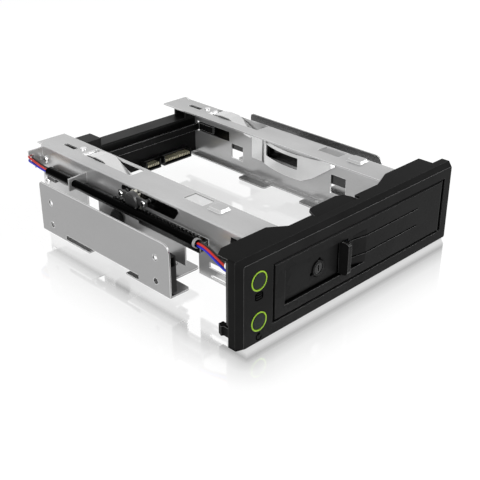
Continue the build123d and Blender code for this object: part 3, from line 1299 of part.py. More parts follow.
def placed(point):
    return Vector(point[0], FACE_Y + point[1], point[2])


def bend_room(run):
    """Length that an arc may take at one end of a run, which leaves the sleeve straight."""
    if run.length > SLEEVE_REAR - SLEEVE_FRONT:
        return 0.9 * SLEEVE_FREE
    return 0.45 * run.length


def corner_radii(points):
    """Radius for each corner, as large as its two runs allow, and tight behind the web."""
    radii = []
    for before, corner, after in zip(points, points[1:], points[2:]):
        into = corner - before
        out = after - corner
        half_turn = radians(into.get_angle(out)) / 2
        radii.append(min(bend_room(into), bend_room(out)) / tan(half_turn))
    radii[1] = min(radii[1], WIRE_TURN_RADIUS)
    return radii


def wire(name):
    points = [placed(point) for point in wire_points(*WIRES[name])]
    radii = corner_radii(points)
    path = FilletPolyline(*points, radius=radii)
    print(name, "radii", [round(radius, 1) for radius in radii], "length", round(path.length, 1))
    section = Plane(origin=path @ 0, z_dir=path % 0) * Circle(WIRE_RADIUS)
    return sweep(section, path=path)


def main():
    save(front_bezel(), "front_bezel")
    save(hinge_pins(), "hinge_pins")
    save(light_rings(), "light_rings")
    save(activity_lens(), "activity_lens")
    save(reset_button(), "reset_button")
    save(front_board(), "front_board")
    save(reset_switch(), "reset_switch")
    save(activity_led(), "activity_led")
    save(front_plug(), "front_plug")
    save(door_panel(), "door_panel")
    save(door_pads(), "door_pads")
    save(lock_barrel(), "lock_barrel")
    save(lock_cylinder(), "lock_cylinder")
    save(lock_cam(), "lock_cam")
    save(latch_handle(), "latch_handle")
    save(latch_bolt(), "latch_bolt")
    save(left_side_frame(), "left_side_frame")
    save(right_side_frame(), "right_side_frame")
    save(leaf_spring(-1), "left_leaf_spring")
    save(leaf_spring(1), "right_leaf_spring")
    save(spring_rivets(), "spring_rivets")
    save(shelf_rivets(), "shelf_rivets")
    save(side_bow_spring(), "side_bow_spring")
    save(side_bumper(), "side_bumper")
    save(mount_bracket(-1, LEFT_PLATE, LEFT_FEET, LEFT_TABS, LEFT_RIVETS), "left_mount_bracket")
    save(mount_bracket(1, RIGHT_PLATE, RIGHT_FEET, RIGHT_TABS, RIGHT_RIVETS), "right_mount_bracket")
    save(group_of([bracket_pad(-1, LEFT_PLATE[0]), bracket_pad(1, RIGHT_PLATE[0])]), "bracket_pads")
    save(rear_bulkhead(), "rear_bulkhead")
    save(backplane_board(), "backplane_board")
    save(drive_socket(), "drive_socket")
    save(socket_contacts(), "socket_contacts")
    save(rear_data_plug(), "rear_data_plug")
    save(rear_power_plug(), "rear_power_plug")
    save(wire_header(), "wire_header")
    save(rack_bar(), "rack_bar")
    save(ejector_cross_bar(), "ejector_cross_bar")
    save(slide_plate(), "slide_plate")
    save(left_slide_channel(), "left_slide_channel")
    save(damper_bracket(), "damper_bracket")
    save(damper_housing(), "damper_housing")
    save(damper_screws(), "damper_screws")
    save(damper_pinion(), "damper_pinion")
    save(bulkhead_screws(), "bulkhead_screws")
    save(bezel_screws(), "bezel_screws")
    save(board_screws(), "board_screws")
    save(sleeve(), "loom_sleeve")
    save(sleeve_clip(), "sleeve_clip")
    for name in WIRES:
        save(wire(name), name)


main()
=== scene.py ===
import math

import bpy
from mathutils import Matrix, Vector


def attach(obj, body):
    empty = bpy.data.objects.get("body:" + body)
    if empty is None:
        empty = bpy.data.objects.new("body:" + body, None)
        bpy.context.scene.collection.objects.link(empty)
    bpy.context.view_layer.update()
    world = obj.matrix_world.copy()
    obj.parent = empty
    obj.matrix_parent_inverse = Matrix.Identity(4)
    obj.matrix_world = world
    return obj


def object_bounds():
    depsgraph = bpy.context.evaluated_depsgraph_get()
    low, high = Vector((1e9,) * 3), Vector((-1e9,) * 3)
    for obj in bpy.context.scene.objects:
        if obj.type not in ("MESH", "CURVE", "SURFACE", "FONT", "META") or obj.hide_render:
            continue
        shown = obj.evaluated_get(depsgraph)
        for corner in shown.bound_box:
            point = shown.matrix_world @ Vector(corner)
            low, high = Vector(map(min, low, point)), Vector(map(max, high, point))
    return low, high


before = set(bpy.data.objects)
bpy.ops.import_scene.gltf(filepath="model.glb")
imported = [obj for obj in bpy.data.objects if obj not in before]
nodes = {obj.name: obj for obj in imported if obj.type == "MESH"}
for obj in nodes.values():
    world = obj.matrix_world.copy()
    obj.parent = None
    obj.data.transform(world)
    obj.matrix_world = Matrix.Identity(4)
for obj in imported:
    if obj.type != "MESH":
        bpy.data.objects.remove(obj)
cad_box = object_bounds()
scene = bpy.context.scene

# A millimetre in metres, and the bezel's front in the row frame
MM = 0.001
FACE_Y = -83.55

# Camera: its place as x, depth and z, its lens and sensor, and the way back from the object to it
CAMERA_PLACE = (-290.165, -216.981, 212.285)
CAMERA_LENS = 67.546
CAMERA_SENSOR = 36.0
CAMERA_NEAR = 0.01
CAMERA_FAR = 20.0
AZIMUTH = math.radians(-44.824)
ELEVATION = math.radians(27.459)

# Floor: half its side in metres, and its drop in millimetres
FLOOR_HALF = 3.0
FLOOR_DROP = 0.1
FLOOR_SHADE = 0.3
FLOOR_BOUNCE = 0.5
FLOOR_LIFT = 0.88

# Mirror on the floor: distance from the object's outline, and the mirror's share there
MIRROR_ROUGHNESS = 0.05
MIRROR_STOPS = (
    (-10.0, 0.24), (-3.0, 0.34), (0.0, 0.6), (3.0, 0.4), (9.0, 0.21), (18.0, 0.1), (28.0, 0.03), (38.0, 0.0),
)

# World light by the height of its direction, and the lamps: name, place, target, size and power
SKY_STOPS = ((0.0, 0.75), (0.25, 0.5), (0.6, 0.25), (1.0, 0.15))
LAMPS = (
    ("front_light", (0.45, -0.95, 0.2), (0, 0, 0.02), (1.0, 0.35), 9.0),
    ("left_light", (-0.9, -0.3, 0.3), (0, 0, 0.02), (0.5, 0.4), 5.0),
    ("edge_light", (0.62, -0.5, 0.62), (0, -0.08, 0.02), (0.18, 0.18), 1.5),
)

# Worn or moulded radii of the edges
EDGE_ANGLE = math.radians(40)
EDGE_WIDTHS = {
    "front_bezel": 0.28, "door_panel": 0.12, "left_side_frame": 0.1, "right_side_frame": 0.1,
    "left_mount_bracket": 0.12, "right_mount_bracket": 0.12, "rear_bulkhead": 0.2, "rack_bar": 0.15,
    "slide_plate": 0.12, "ejector_cross_bar": 0.15, "latch_handle": 0.35, "left_slide_channel": 0.08,
}

# Painted shade of the driver recesses in screw heads, as dark crosses just proud of the heads: centre as x,
# depth and z, the way the head faces, and the arm's length
DRIVER_CROSSES = (
    [((-54.9, 164.4, z), (-1, 0, 0), 1.25) for z in (20.9, 32.8)]
    + [((50.5, 164.4, z), (1, 0, 0), 1.25) for z in (20.9, 32.8)]
    + [((-58.4, 20.0, 34.5), (-1, 0, 0), 1.05), ((54.0, 20.0, 34.5), (1, 0, 0), 1.05)]
    + [((-58.5, depth, 36.6), (-1, 0, 0), 0.85) for depth in (79.8, 96.2)]
    + [((x, 165.8, z), (0, 1, 0), 1.25) for x in (-18.0, 41.0) for z in (13.5, 30.5)]
    + [((-59.6, 11.8, 4.8), (0, 1, 0), 1.05), ((-70.0, 11.8, 36.0), (0, 1, 0), 1.05)]
)
CROSS_WIDTH = 0.34
CROSS_PROUD = 0.03

# Contact tips over the front of the socket's tongues
TIP_PITCH = 1.27
TIP_WIDTH = 0.7
TIP_ROWS = ((7.7, 7), (21.02, 15))
TIP_OUTLINE = (
    (157.6, 13.0), (157.34, 12.96), (157.22, 12.8), (157.22, 11.5),
    (157.4, 11.5), (157.4, 12.7), (157.6, 12.7),
)

# Painted shade in the door's two grooves, as black strips: outline as x and depth, and the strips' lower
# sides
GROOVE_SHADE_OUTLINE = (
    (-4.0, 2.38), (-1.4, 2.38), (6.4, 0.78), (45.9, 0.78),
    (45.9, 0.02), (6.4, 0.02), (-1.4, 1.62), (-4.0, 1.62),
)
GROOVE_SHADE_LOWS = (17.06, 25.96)
GROOVE_SHADE_WIDTH = 0.68

# Signs under the two rings: a stack of disks, and a turning arrow with its head as steps in x and z
LINE_RADIUS = 0.2
SIGN_X = -63.55
DISK_RADII = (2.1, 0.5)
DISK_TOP = 24.7
DISK_LOW = 22.5
TURN_Z = 4.1
TURN_RADIUS = 1.5
TURN_HEAD = ((-0.1, 6.1), (0.51, 5.51), (-0.1, 4.9))

# Dots beside the lock as x and z
LOCK_DOTS = ((-24.4, 25.1), (-29.6, 19.5))
DOT_RADIUS = 0.8
DOT_DEPTH = 1.64
DOT_PROUD = 0.05


def point(x, depth, z):
    """Place in the row frame from millimetres, with the depth measured from the bezel's front."""
    return Vector((x * MM, (FACE_Y + depth) * MM, z * MM))


def grey(value):
    return (value, value, value, 1.0)


def rgb(red, green, blue):
    return (red, green, blue, 1.0)


def add_camera():
    data = bpy.data.cameras.new("camera")
    data.sensor_width = CAMERA_SENSOR
    data.lens = CAMERA_LENS
    data.clip_start = CAMERA_NEAR
    data.clip_end = CAMERA_FAR
    camera = bpy.data.objects.new("camera", data)
    scene.collection.objects.link(camera)
    camera.location = point(*CAMERA_PLACE)
    back = Vector((
        math.sin(AZIMUTH) * math.cos(ELEVATION),
        -math.cos(AZIMUTH) * math.cos(ELEVATION),
        math.sin(ELEVATION),
    ))
    camera.rotation_mode = "QUATERNION"
    camera.rotation_quaternion = (-back).to_track_quat("-Z", "Y")
    scene.camera = camera
    scene.view_settings.view_transform = "Standard"


# Shader building blocks


def connect(tree, value, socket):
    """Link a socket's output, or set a plain value."""
    if isinstance(value, bpy.types.NodeSocket):
        tree.links.new(value, socket)
    else:
        socket.default_value = value


def noise(tree, vector, scale, detail=4.0, rough=0.55):
    node = tree.nodes.new("ShaderNodeTexNoise")
    node.inputs["Detail"].default_value = detail
    node.inputs["Roughness"].default_value = rough
    tree.links.new(vector, node.inputs["Vector"])
    connect(tree, scale, node.inputs["Scale"])
    return node.outputs["Fac"]


def remap(tree, value, low, high, to_low, to_high):
    node = tree.nodes.new("ShaderNodeMapRange")
    node.inputs["From Min"].default_value = low
    node.inputs["From Max"].default_value = high
    connect(tree, to_low, node.inputs["To Min"])
    connect(tree, to_high, node.inputs["To Max"])
    tree.links.new(value, node.inputs["Value"])
    return node.outputs["Result"]


def stretched(tree, vector, scale):
    node = tree.nodes.new("ShaderNodeMapping")
    node.inputs["Scale"].default_value = scale
    tree.links.new(vector, node.inputs["Vector"])
    return node.outputs["Vector"]


def mixed(tree, factor, first, second):
    node = tree.nodes.new("ShaderNodeMix")
    node.data_type = "RGBA"
    tree.links.new(factor, node.inputs["Factor"])
    connect(tree, first, node.inputs["A"])
    connect(tree, second, node.inputs["B"])
    return node.outputs["Result"]


def math_node(tree, operation, first, second=0.0):
    node = tree.nodes.new("ShaderNodeMath")
    node.operation = operation
    connect(tree, first, node.inputs[0])
    connect(tree, second, node.inputs[1])
    return node.outputs["Value"]


def edge_highlight_masks():
    """Node group with masks for painted highlights on the edges of a piece: all of them, and those that turn
    up to the light.
    """
    tree = bpy.data.node_groups.new("edge_highlight_masks", "ShaderNodeTree")
    tree.interface.new_socket(name="Width", in_out="INPUT", socket_type="NodeSocketFloat")
    tree.interface.new_socket(name="All", in_out="OUTPUT", socket_type="NodeSocketFloat")
    tree.interface.new_socket(name="Upper", in_out="OUTPUT", socket_type="NodeSocketFloat")
    given = tree.nodes.new("NodeGroupInput").outputs
    out = tree.nodes.new("NodeGroupOutput").inputs
    rounded = tree.nodes.new("ShaderNodeBevel")
    rounded.samples = 8
    tree.links.new(given["Width"], rounded.inputs["Radius"])
    plain = tree.nodes.new("ShaderNodeNewGeometry").outputs["Normal"]
    dot = tree.nodes.new("ShaderNodeVectorMath")
    dot.operation = "DOT_PRODUCT"
    tree.links.new(rounded.outputs["Normal"], dot.inputs[0])
    tree.links.new(plain, dot.inputs[1])
    edges = remap(tree, dot.outputs["Value"], 0.995, 0.88, 0.0, 1.0)
    heights = []
    for direction in (rounded.outputs["Normal"], plain):
        split = tree.nodes.new("ShaderNodeSeparateXYZ")
        tree.links.new(direction, split.inputs["Vector"])
        heights.append(split.outputs["Z"])
    rise = math_node(tree, "SUBTRACT", *heights)
    tree.links.new(edges, out["All"])
    tree.links.new(math_node(tree, "MULTIPLY", edges, remap(tree, rise, -0.12, 0.3, 0.0, 1.0)), out["Upper"])
    return tree


def crevice_shade():
    """Node group with a mask for painted shade: white in gaps and corners, where light hardly comes."""
    tree = bpy.data.node_groups.new("crevice_shade", "ShaderNodeTree")
    tree.interface.new_socket(name="Reach", in_out="INPUT", socket_type="NodeSocketFloat")
    tree.interface.new_socket(name="Mask", in_out="OUTPUT", socket_type="NodeSocketFloat")
    given = tree.nodes.new("NodeGroupInput").outputs
    out = tree.nodes.new("NodeGroupOutput").inputs
    open_sky = tree.nodes.new("ShaderNodeAmbientOcclusion")
    open_sky.samples = 12
    tree.links.new(given["Reach"], open_sky.inputs["Distance"])
    tree.links.new(remap(tree, open_sky.outputs["AO"], 0.96, 0.74, 0.0, 1.0), out["Mask"])
    return tree


def bumped(tree, height, strength, distance):
    node = tree.nodes.new("ShaderNodeBump")
    connect(tree, strength, node.inputs["Strength"])
    node.inputs["Distance"].default_value = distance
    tree.links.new(height, node.inputs["Height"])
    return node.outputs["Normal"]


def effect(name, build, extra=()):
    """Node group that turns two colours and two roughnesses into a varying surface."""
    tree = bpy.data.node_groups.new(name, "ShaderNodeTree")
    wanted = [("Dark", "Color"), ("Light", "Color")]
    wanted += [("Smooth", "Float"), ("Rough", "Float"), ("Relief", "Float")]
    for label, kind in wanted + list(extra):
        tree.interface.new_socket(name=label, in_out="INPUT", socket_type="NodeSocket" + kind)
    for label, kind in (("Color", "Color"), ("Roughness", "Float"), ("Normal", "Vector")):
        tree.interface.new_socket(name=label, in_out="OUTPUT", socket_type="NodeSocket" + kind)
    given = tree.nodes.new("NodeGroupInput").outputs
    out = tree.nodes.new("NodeGroupOutput").inputs
    place = tree.nodes.new("ShaderNodeTexCoord").outputs["Object"]
    for label, value in zip(("Color", "Roughness", "Normal"), build(tree, place, given)):
        tree.links.new(value, out[label])
    return tree


def rolled_sheet(tree, place, given):
    """Rolled sheet: fine lines along the roll, with soft clouds over them."""
    clouds = noise(tree, stretched(tree, place, (1.0, 0.35, 1.0)), 30.0, 3.0)
    lines = noise(tree, stretched(tree, place, (900.0, 60.0, 900.0)), 6.0, 3.0, 0.6)
    color = mixed(tree, remap(tree, clouds, 0.35, 0.65, 0.0, 1.0), given["Dark"], given["Light"])
    lined = mixed(tree, remap(tree, lines, 0.3, 0.7, 0.0, 0.4), color, given["Dark"])
    rough = remap(tree, lines, 0.25, 0.75, given["Smooth"], given["Rough"])
    return lined, rough, bumped(tree, lines, given["Relief"], 0.00005)


def moulded_grain(tree, place, given):
    """Moulded plastic: tiny pebbles, with a faint drift of gloss."""
    pebbles = noise(tree, place, given["Pebbles"], 2.0)
    drift = noise(tree, place, 60.0, 3.0)
    color = mixed(tree, remap(tree, drift, 0.3, 0.7, 0.0, 1.0), given["Dark"], given["Light"])
    rough = remap(tree, drift, 0.3, 0.7, given["Smooth"], given["Rough"])
    return color, rough, bumped(tree, pebbles, given["Relief"], 0.00004)


def braided(tree, place, given):
    """Braided sleeve: two crossing sets of strands round the tube."""
    waves = []
    for turn in (0.6, -0.6):
        wave = tree.nodes.new("ShaderNodeTexWave")
        wave.wave_type = "BANDS"
        wave.bands_direction = "DIAGONAL"
        wave.inputs["Scale"].default_value = 620.0
        wave.inputs["Distortion"].default_value = 0.4
        tree.links.new(stretched(tree, place, (1.0, turn, 1.0)), wave.inputs["Vector"])
        waves.append(wave.outputs["Fac"])
    strands = math_node(tree, "MAXIMUM", *waves)
    color = mixed(tree, strands, given["Dark"], given["Light"])
    rough = remap(tree, strands, 0.0, 1.0, given["Rough"], given["Smooth"])
    return color, rough, bumped(tree, strands, given["Relief"], 0.00012)


def masked_board(tree, place, given):
    """Solder mask with faint tracks under it."""
    tracks = tree.nodes.new("ShaderNodeTexBrick")
    tracks.inputs["Scale"].default_value = 260.0
    tracks.inputs["Mortar Size"].default_value = 0.03
    for label, source in (("Color1", "Dark"), ("Color2", "Dark"), ("Mortar", "Light")):
        tree.links.new(given[source], tracks.inputs[label])
    tree.links.new(place, tracks.inputs["Vector"])
    cloud = noise(tree, place, 90.0)
    rough = remap(tree, cloud, 0.3, 0.7, given["Smooth"], given["Rough"])
    return tracks.outputs["Color"], rough, bumped(tree, cloud, given["Relief"], 0.0001)


ROLLED = effect("rolled_sheet", rolled_sheet)
MOULDED = effect("moulded_grain", moulded_grain, [("Pebbles", "Float")])
BRAIDED = effect("braided", braided)
BOARD = effect("masked_board", masked_board)
HIGHLIGHT_MASKS = edge_highlight_masks()
CREVICE_SHADE = crevice_shade()


def finish(
    name, surface, dark, light, smooth, rough, relief, pebbles=None, edge=None, shade=None, **constants
):
    """Principled material with its varying part from groups and its constants on its own sockets.

    A painted edge highlight is its colour, its width in millimetres and the mask's name, and a painted shade
    its colour and reach.
    """
    made = bpy.data.materials.new(name)
    made.use_nodes = True
    tree = made.node_tree
    shader = tree.nodes["Principled BSDF"]
    part = tree.nodes.new("ShaderNodeGroup")
    part.node_tree = surface
    given = {"Dark": dark, "Light": light, "Smooth": smooth, "Rough": rough, "Relief": relief}
    if pebbles:
        given["Pebbles"] = pebbles
    for label, value in given.items():
        part.inputs[label].default_value = value
    color = part.outputs["Color"]
    # Painted highlight: a light colour mixed in along the edges
    if edge:
        highlight_color, highlight_width, which = edge
        highlight_node = tree.nodes.new("ShaderNodeGroup")
        highlight_node.node_tree = HIGHLIGHT_MASKS
        highlight_node.inputs["Width"].default_value = highlight_width * MM
        color = mixed(tree, highlight_node.outputs[which], color, highlight_color)
    # Painted shade: a dark colour mixed in at gaps and corners
    if shade:
        shade_color, reach = shade
        gaps = tree.nodes.new("ShaderNodeGroup")
        gaps.node_tree = CREVICE_SHADE
        gaps.inputs["Reach"].default_value = reach * MM
        color = mixed(tree, gaps.outputs["Mask"], color, shade_color)
    tree.links.new(color, shader.inputs["Base Color"])
    tree.links.new(part.outputs["Roughness"], shader.inputs["Roughness"])
    tree.links.new(part.outputs["Normal"], shader.inputs["Normal"])
    for label, value in constants.items():
        shader.inputs[label.replace("_", " ")].default_value = value
    return made


def sheet_metal(name, dark, light, smooth, rough, relief=0.05, metallic=1.0, **extras):
    return finish(name, ROLLED, dark, light, smooth, rough, relief, Metallic=metallic, **extras)


def plastic(name, dark, light, smooth, rough, relief=0.12, pebbles=4200.0, **extras):
    return finish(name, MOULDED, dark, light, smooth, rough, relief, pebbles, **extras)


def dress(made, *names):
    """Give a material to CAD nodes."""
    for name in names:
        mesh = nodes[name].data
        mesh.materials.clear()
        mesh.materials.append(made)


def dress_metals():
    # The edge colours below are painted highlights along the pieces' edges
    dress(
        sheet_metal("frame_steel", grey(0.50), grey(0.66), 0.2, 0.27, metallic=0.6,
                    edge=(grey(0.98), 0.45, "All")),
        "left_side_frame", "right_side_frame",
    )
    dress(
        sheet_metal("bracket_steel", grey(0.345), grey(0.365), 0.2, 0.27, metallic=0.75,
                    edge=(grey(0.98), 0.5, "All")),
        "left_mount_bracket", "right_mount_bracket",
    )
    dress(
        sheet_metal("channel_steel", grey(0.10), grey(0.2), 0.14, 0.24, edge=(grey(0.98), 0.4, "All")),
        "left_slide_channel",
    )
    dress(
        sheet_metal("spring_steel", grey(0.66), grey(0.88), 0.08, 0.16, edge=(grey(0.98), 0.3, "All")),
        "left_leaf_spring", "right_leaf_spring", "side_bow_spring", "latch_bolt",
    )
    dress(
        sheet_metal("dark_steel", grey(0.05), grey(0.11), 0.16, 0.26, edge=(grey(0.8), 0.3, "All")),
        "slide_plate", "rack_bar", "damper_bracket",
    )
    dress(
        sheet_metal("bright_steel", grey(0.78), grey(0.9), 0.1, 0.18),
        "hinge_pins", "lock_cam", "spring_rivets", "shelf_rivets", "damper_screws", "bulkhead_screws",
        "bezel_screws", "board_screws",
    )
    dress(
        sheet_metal("lock_ring", grey(0.003), grey(0.006), 0.2, 0.3, edge=(grey(0.05), 0.12, "All")),
        "lock_barrel",
    )
    dress(
        sheet_metal("lock_face", grey(0.02), grey(0.05), 0.14, 0.24, edge=(grey(0.3), 0.15, "All")),
        "lock_cylinder",
    )


def dress_plastics():
    # The edge colours below are painted highlights along the pieces' edges, and the shades on the bezel and
    # the door are painted shade in their gaps and corners
    dress(
        plastic("bezel_plastic", grey(0.010), grey(0.0135), 0.3, 0.38, edge=(grey(0.32), 0.4, "Upper"),
                shade=(grey(0.0005), 2.2), Specular_IOR_Level=0.015),
        "front_bezel",
    )
    dress(
        plastic("door_plastic", grey(0.0112), grey(0.0136), 0.24, 0.32, edge=(grey(0.2), 0.3, "Upper"),
                shade=(grey(0.0005), 1.6), Specular_IOR_Level=0.02),
        "door_panel",
    )
    dress(
        plastic("latch_plastic", grey(0.006), grey(0.009), 0.18, 0.26, edge=(grey(0.3), 0.3, "Upper"),
                Specular_IOR_Level=0.08),
        "latch_handle",
    )
    dress(
        plastic("black_plastic", grey(0.008), grey(0.013), 0.26, 0.36, Specular_IOR_Level=0.3),
        "drive_socket", "rear_data_plug", "reset_switch",
    )
    dress(
        plastic("black_paint", grey(0.005), grey(0.009), 0.3, 0.4, edge=(grey(0.05), 0.25, "All"),
                Specular_IOR_Level=0.08),
        "rear_bulkhead",
    )
    dress(
        plastic("bar_paint", grey(0.004), grey(0.008), 0.2, 0.3, edge=(grey(0.6), 0.3, "All"),
                Specular_IOR_Level=0.1),
        "ejector_cross_bar",
    )
    dress(
        plastic("button_plastic", rgb(0.010, 0.014, 0.011), rgb(0.016, 0.021, 0.017), 0.12, 0.18, 0.03,
                Specular_IOR_Level=0.08),
        "activity_lens", "reset_button",
    )
    dress(
        plastic("ring_plastic", rgb(0.20, 0.36, 0.015), rgb(0.27, 0.45, 0.025), 0.2, 0.3, 0.03,
                Specular_IOR_Level=0.2),
        "light_rings", "activity_led",
    )
    dress(
        plastic("natural_plastic", rgb(0.66, 0.64, 0.56), rgb(0.74, 0.72, 0.64), 0.34, 0.44),
        "front_plug", "rear_power_plug", "wire_header", "damper_pinion",
    )
    dress(
        plastic("clip_plastic", grey(0.32), grey(0.42), 0.2, 0.3, edge=(grey(0.85), 0.25, "All")),
        "sleeve_clip",
    )
    dress(
        plastic("damper_plastic", grey(0.03), grey(0.05), 0.22, 0.32),
        "damper_housing",
    )
    dress(
        plastic("rubber", grey(0.007), grey(0.012), 0.4, 0.5, 0.2, 3600.0, Specular_IOR_Level=0.3),
        "door_pads", "side_bumper", "bracket_pads",
    )


def dress_loom_and_boards():
    dress(
        finish("sleeve_braid", BRAIDED, grey(0.0005), grey(0.002), 0.14, 0.22, 0.06,
               Specular_IOR_Level=0.006),
        "loom_sleeve",
    )
    dress(
        finish("board_mask", BOARD, grey(0.006), grey(0.012), 0.3, 0.4, 0.05),
        "front_board",
    )
    dress(
        finish("green_mask", BOARD, rgb(0.012, 0.10, 0.045), rgb(0.03, 0.17, 0.08), 0.3, 0.4, 0.05),
        "backplane_board",
    )
    insulation = {
        "wire_black": (grey(0.006), grey(0.012)),
        "wire_red": (rgb(0.60, 0.012, 0.008), rgb(0.72, 0.03, 0.015)),
        "wire_yellow": (rgb(0.85, 0.40, 0.02), rgb(0.95, 0.52, 0.03)),
        "wire_blue": (rgb(0.012, 0.02, 0.50), rgb(0.02, 0.035, 0.66)),
    }
    for name, (dark, light) in insulation.items():
        dress(plastic(name, dark, light, 0.3, 0.4, 0.04, 3000.0), name)


def soften_edges():
    """Worn or moulded radii that catch the light."""
    for name, width in EDGE_WIDTHS.items():
        bevel = nodes[name].modifiers.new("edges", "BEVEL")
        bevel.width = width * MM
        bevel.segments = 2
        bevel.limit_method = "ANGLE"
        bevel.angle_limit = EDGE_ANGLE
        bevel.harden_normals = True


# Small pieces


def add_piece(name, mesh, made, body):
    """Piece from a mesh, on its body and with its material."""
    mesh.materials.clear()
    mesh.materials.append(made)
    piece = bpy.data.objects.new(name, mesh)
    scene.collection.objects.link(piece)
    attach(piece, body)


def add_prisms(name, ends, made, body):
    """Piece of closed prisms, each an outline of points and the vector from one end to the other."""
    verts, faces = [], []
    for outline, offset in ends:
        first = len(verts)
        count = len(outline)
        verts += outline
        verts += [tuple(a + b for a, b in zip(spot, offset)) for spot in outline]
        faces.append(tuple(range(first, first + count))[::-1])
        faces.append(tuple(range(first + count, first + 2 * count)))
        for i in range(count):
            following = (i + 1) % count
            faces.append((first + i, first + following, first + count + following, first + count + i))
    mesh = bpy.data.meshes.new(name)
    mesh.from_pydata([point(*vert) for vert in verts], [], faces)
    mesh.validate()
    add_piece(name, mesh, made, body)


def add_driver_crosses():
    """Dark crosses just proud of the screw heads, painted shade that stands for their cross recesses."""
    ends = []
    half = CROSS_WIDTH / 2
    for centre, facing, arm in DRIVER_CROSSES:
        plus = [(half, half), (half, arm), (-half, arm), (-half, half), (-arm, half), (-arm, -half),
                (-half, -half), (-half, -arm), (half, -arm), (half, -half), (arm, -half), (arm, half)]
        if facing[0]:
            outline = [(centre[0] - facing[0] * CROSS_PROUD, centre[1] + a, centre[2] + b) for a, b in plus]
        else:
            outline = [(centre[0] + a, centre[1] - facing[1] * CROSS_PROUD, centre[2] + b) for a, b in plus]
        ends.append((outline, tuple(2 * CROSS_PROUD * part for part in facing)))
    made = sheet_metal("recess_shade", grey(0.02), grey(0.05), 0.3, 0.4)
    add_prisms("driver_crosses", ends, made, "cage")


def add_contact_tips():
    """Gold tips that wrap the front of both tongues of the drive socket."""
    ends = []
    for start, count in TIP_ROWS:
        for index in range(count):
            x = start + index * TIP_PITCH
            ends.append(([(x, depth, z) for depth, z in TIP_OUTLINE], (TIP_WIDTH, 0, 0)))
    made = finish(
        "contact_gold", ROLLED, rgb(0.80, 0.74, 0.50), rgb(0.90, 0.86, 0.64), 0.3, 0.4, 0.04, Metallic=0.35,
    )
    add_prisms("contact_tips", ends, made, "cage")
    dress(made, "socket_contacts")


def add_groove_shade():
    """Black strips of painted shade that lie in the door's grooves, just under its face."""
    ends = [([(x, depth, low) for x, depth in GROOVE_SHADE_OUTLINE], (0, 0, GROOVE_SHADE_WIDTH)) for low in GROOVE_SHADE_LOWS]
    made = plastic("painted_groove_shade", grey(0.0002), grey(0.0006), 0.4, 0.5, 0.1, 3600.0, Specular_IOR_Level=0.0)
    add_prisms("groove_shade_strips", ends, made, "door")


def loop(centre, radii, start=0.0, end=360.0, steps=28):
    """Points of an arc or ellipse on the bezel's or door's front, in degrees."""
    x, depth, z = centre
    spots = []
    for step in range(steps + 1):
        angle = math.radians(start + (end - start) * step / steps)
        spots.append((x + radii[0] * math.cos(angle), depth, z + radii[1] * math.sin(angle)))
    return spots


def add_sign(name, lines, made, body):
    """Sign of thin raised lines, half sunk in the face that carries it."""
    curve = bpy.data.curves.new(name, "CURVE")
    curve.dimensions = "3D"
    curve.bevel_depth = LINE_RADIUS * MM
    curve.bevel_resolution = 2
    curve.use_fill_caps = True
    for line in lines:
        spline = curve.splines.new("POLY")
        spline.points.add(len(line) - 1)
        for spot, given in zip(spline.points, line):
            spot.co = (*point(*given), 1.0)
    holder = bpy.data.objects.new(name + "_lines", curve)
    scene.collection.objects.link(holder)
    mesh = bpy.data.meshes.new_from_object(holder)
    bpy.data.objects.remove(holder)
    bpy.data.curves.remove(curve)
    mesh.name = name
    add_piece(name, mesh, made, body)


def add_disk_sign(ink):
    """Stack of disks: a full ellipse on top, two half ellipses and the two sides."""
    middle = (DISK_TOP + DISK_LOW) / 2
    lines = [loop((SIGN_X, 0.0, DISK_TOP), DISK_RADII)]
    lines += [loop((SIGN_X, 0.0, z), DISK_RADII, 180, 360, 14) for z in (middle, DISK_LOW)]
    for side in (-1, 1):
        x = SIGN_X + side * DISK_RADII[0]
        lines.append([(x, 0.0, DISK_TOP), (x, 0.0, DISK_LOW)])
    add_sign("disk_sign", lines, ink, "cage")


def add_turn_sign(ink):
    """Turning arrow: an open ring and its head."""
    ring = loop((SIGN_X, 0.0, TURN_Z), (TURN_RADIUS, TURN_RADIUS), 70, 350, 24)
    head = [(SIGN_X + step, 0.0, z) for step, z in TURN_HEAD]
    add_sign("turn_sign", [ring, head], ink, "cage")


def add_lock_dots(ink):
    """Flat dots on the door's sunk field, beside the lock."""
    ends = []
    for x, z in LOCK_DOTS:
        outline = loop((x, DOT_DEPTH, z), (DOT_RADIUS, DOT_RADIUS), steps=20)[:-1]
        ends.append((outline, (0, -2 * DOT_PROUD, 0)))
    add_prisms("lock_dots", ends, ink, "door")


def add_signs():
    """Plain signs, all in one ink."""
    ink = plastic("sign_ink", grey(0.0002), grey(0.0006), 0.3, 0.4, 0.05, Specular_IOR_Level=0.0)
    add_disk_sign(ink)
    add_turn_sign(ink)
    add_lock_dots(ink)


# Stage and light


def footprint_distance(tree):
    """Distance on the floor from the object's outline in millimetres, below nought inside it."""
    low, high = (Vector(corner) for corner in cad_box)
    place = tree.nodes.new("ShaderNodeTexCoord").outputs["Object"]
    split = tree.nodes.new("ShaderNodeSeparateXYZ")
    tree.links.new(place, split.inputs["Vector"])
    past = []
    for axis, label in enumerate("XY"):
        middle = (low[axis] + high[axis]) / 2
        half = (high[axis] - low[axis]) / 2
        off = math_node(tree, "ABSOLUTE", math_node(tree, "SUBTRACT", split.outputs[label], middle))
        past.append(math_node(tree, "SUBTRACT", off, half))
    squares = [math_node(tree, "POWER", math_node(tree, "MAXIMUM", side, 0.0), 2.0) for side in past]
    outside = math_node(tree, "SQRT", math_node(tree, "ADD", *squares))
    inside = math_node(tree, "MINIMUM", math_node(tree, "MAXIMUM", *past), 0.0)
    return math_node(tree, "DIVIDE", math_node(tree, "ADD", outside, inside), MM)


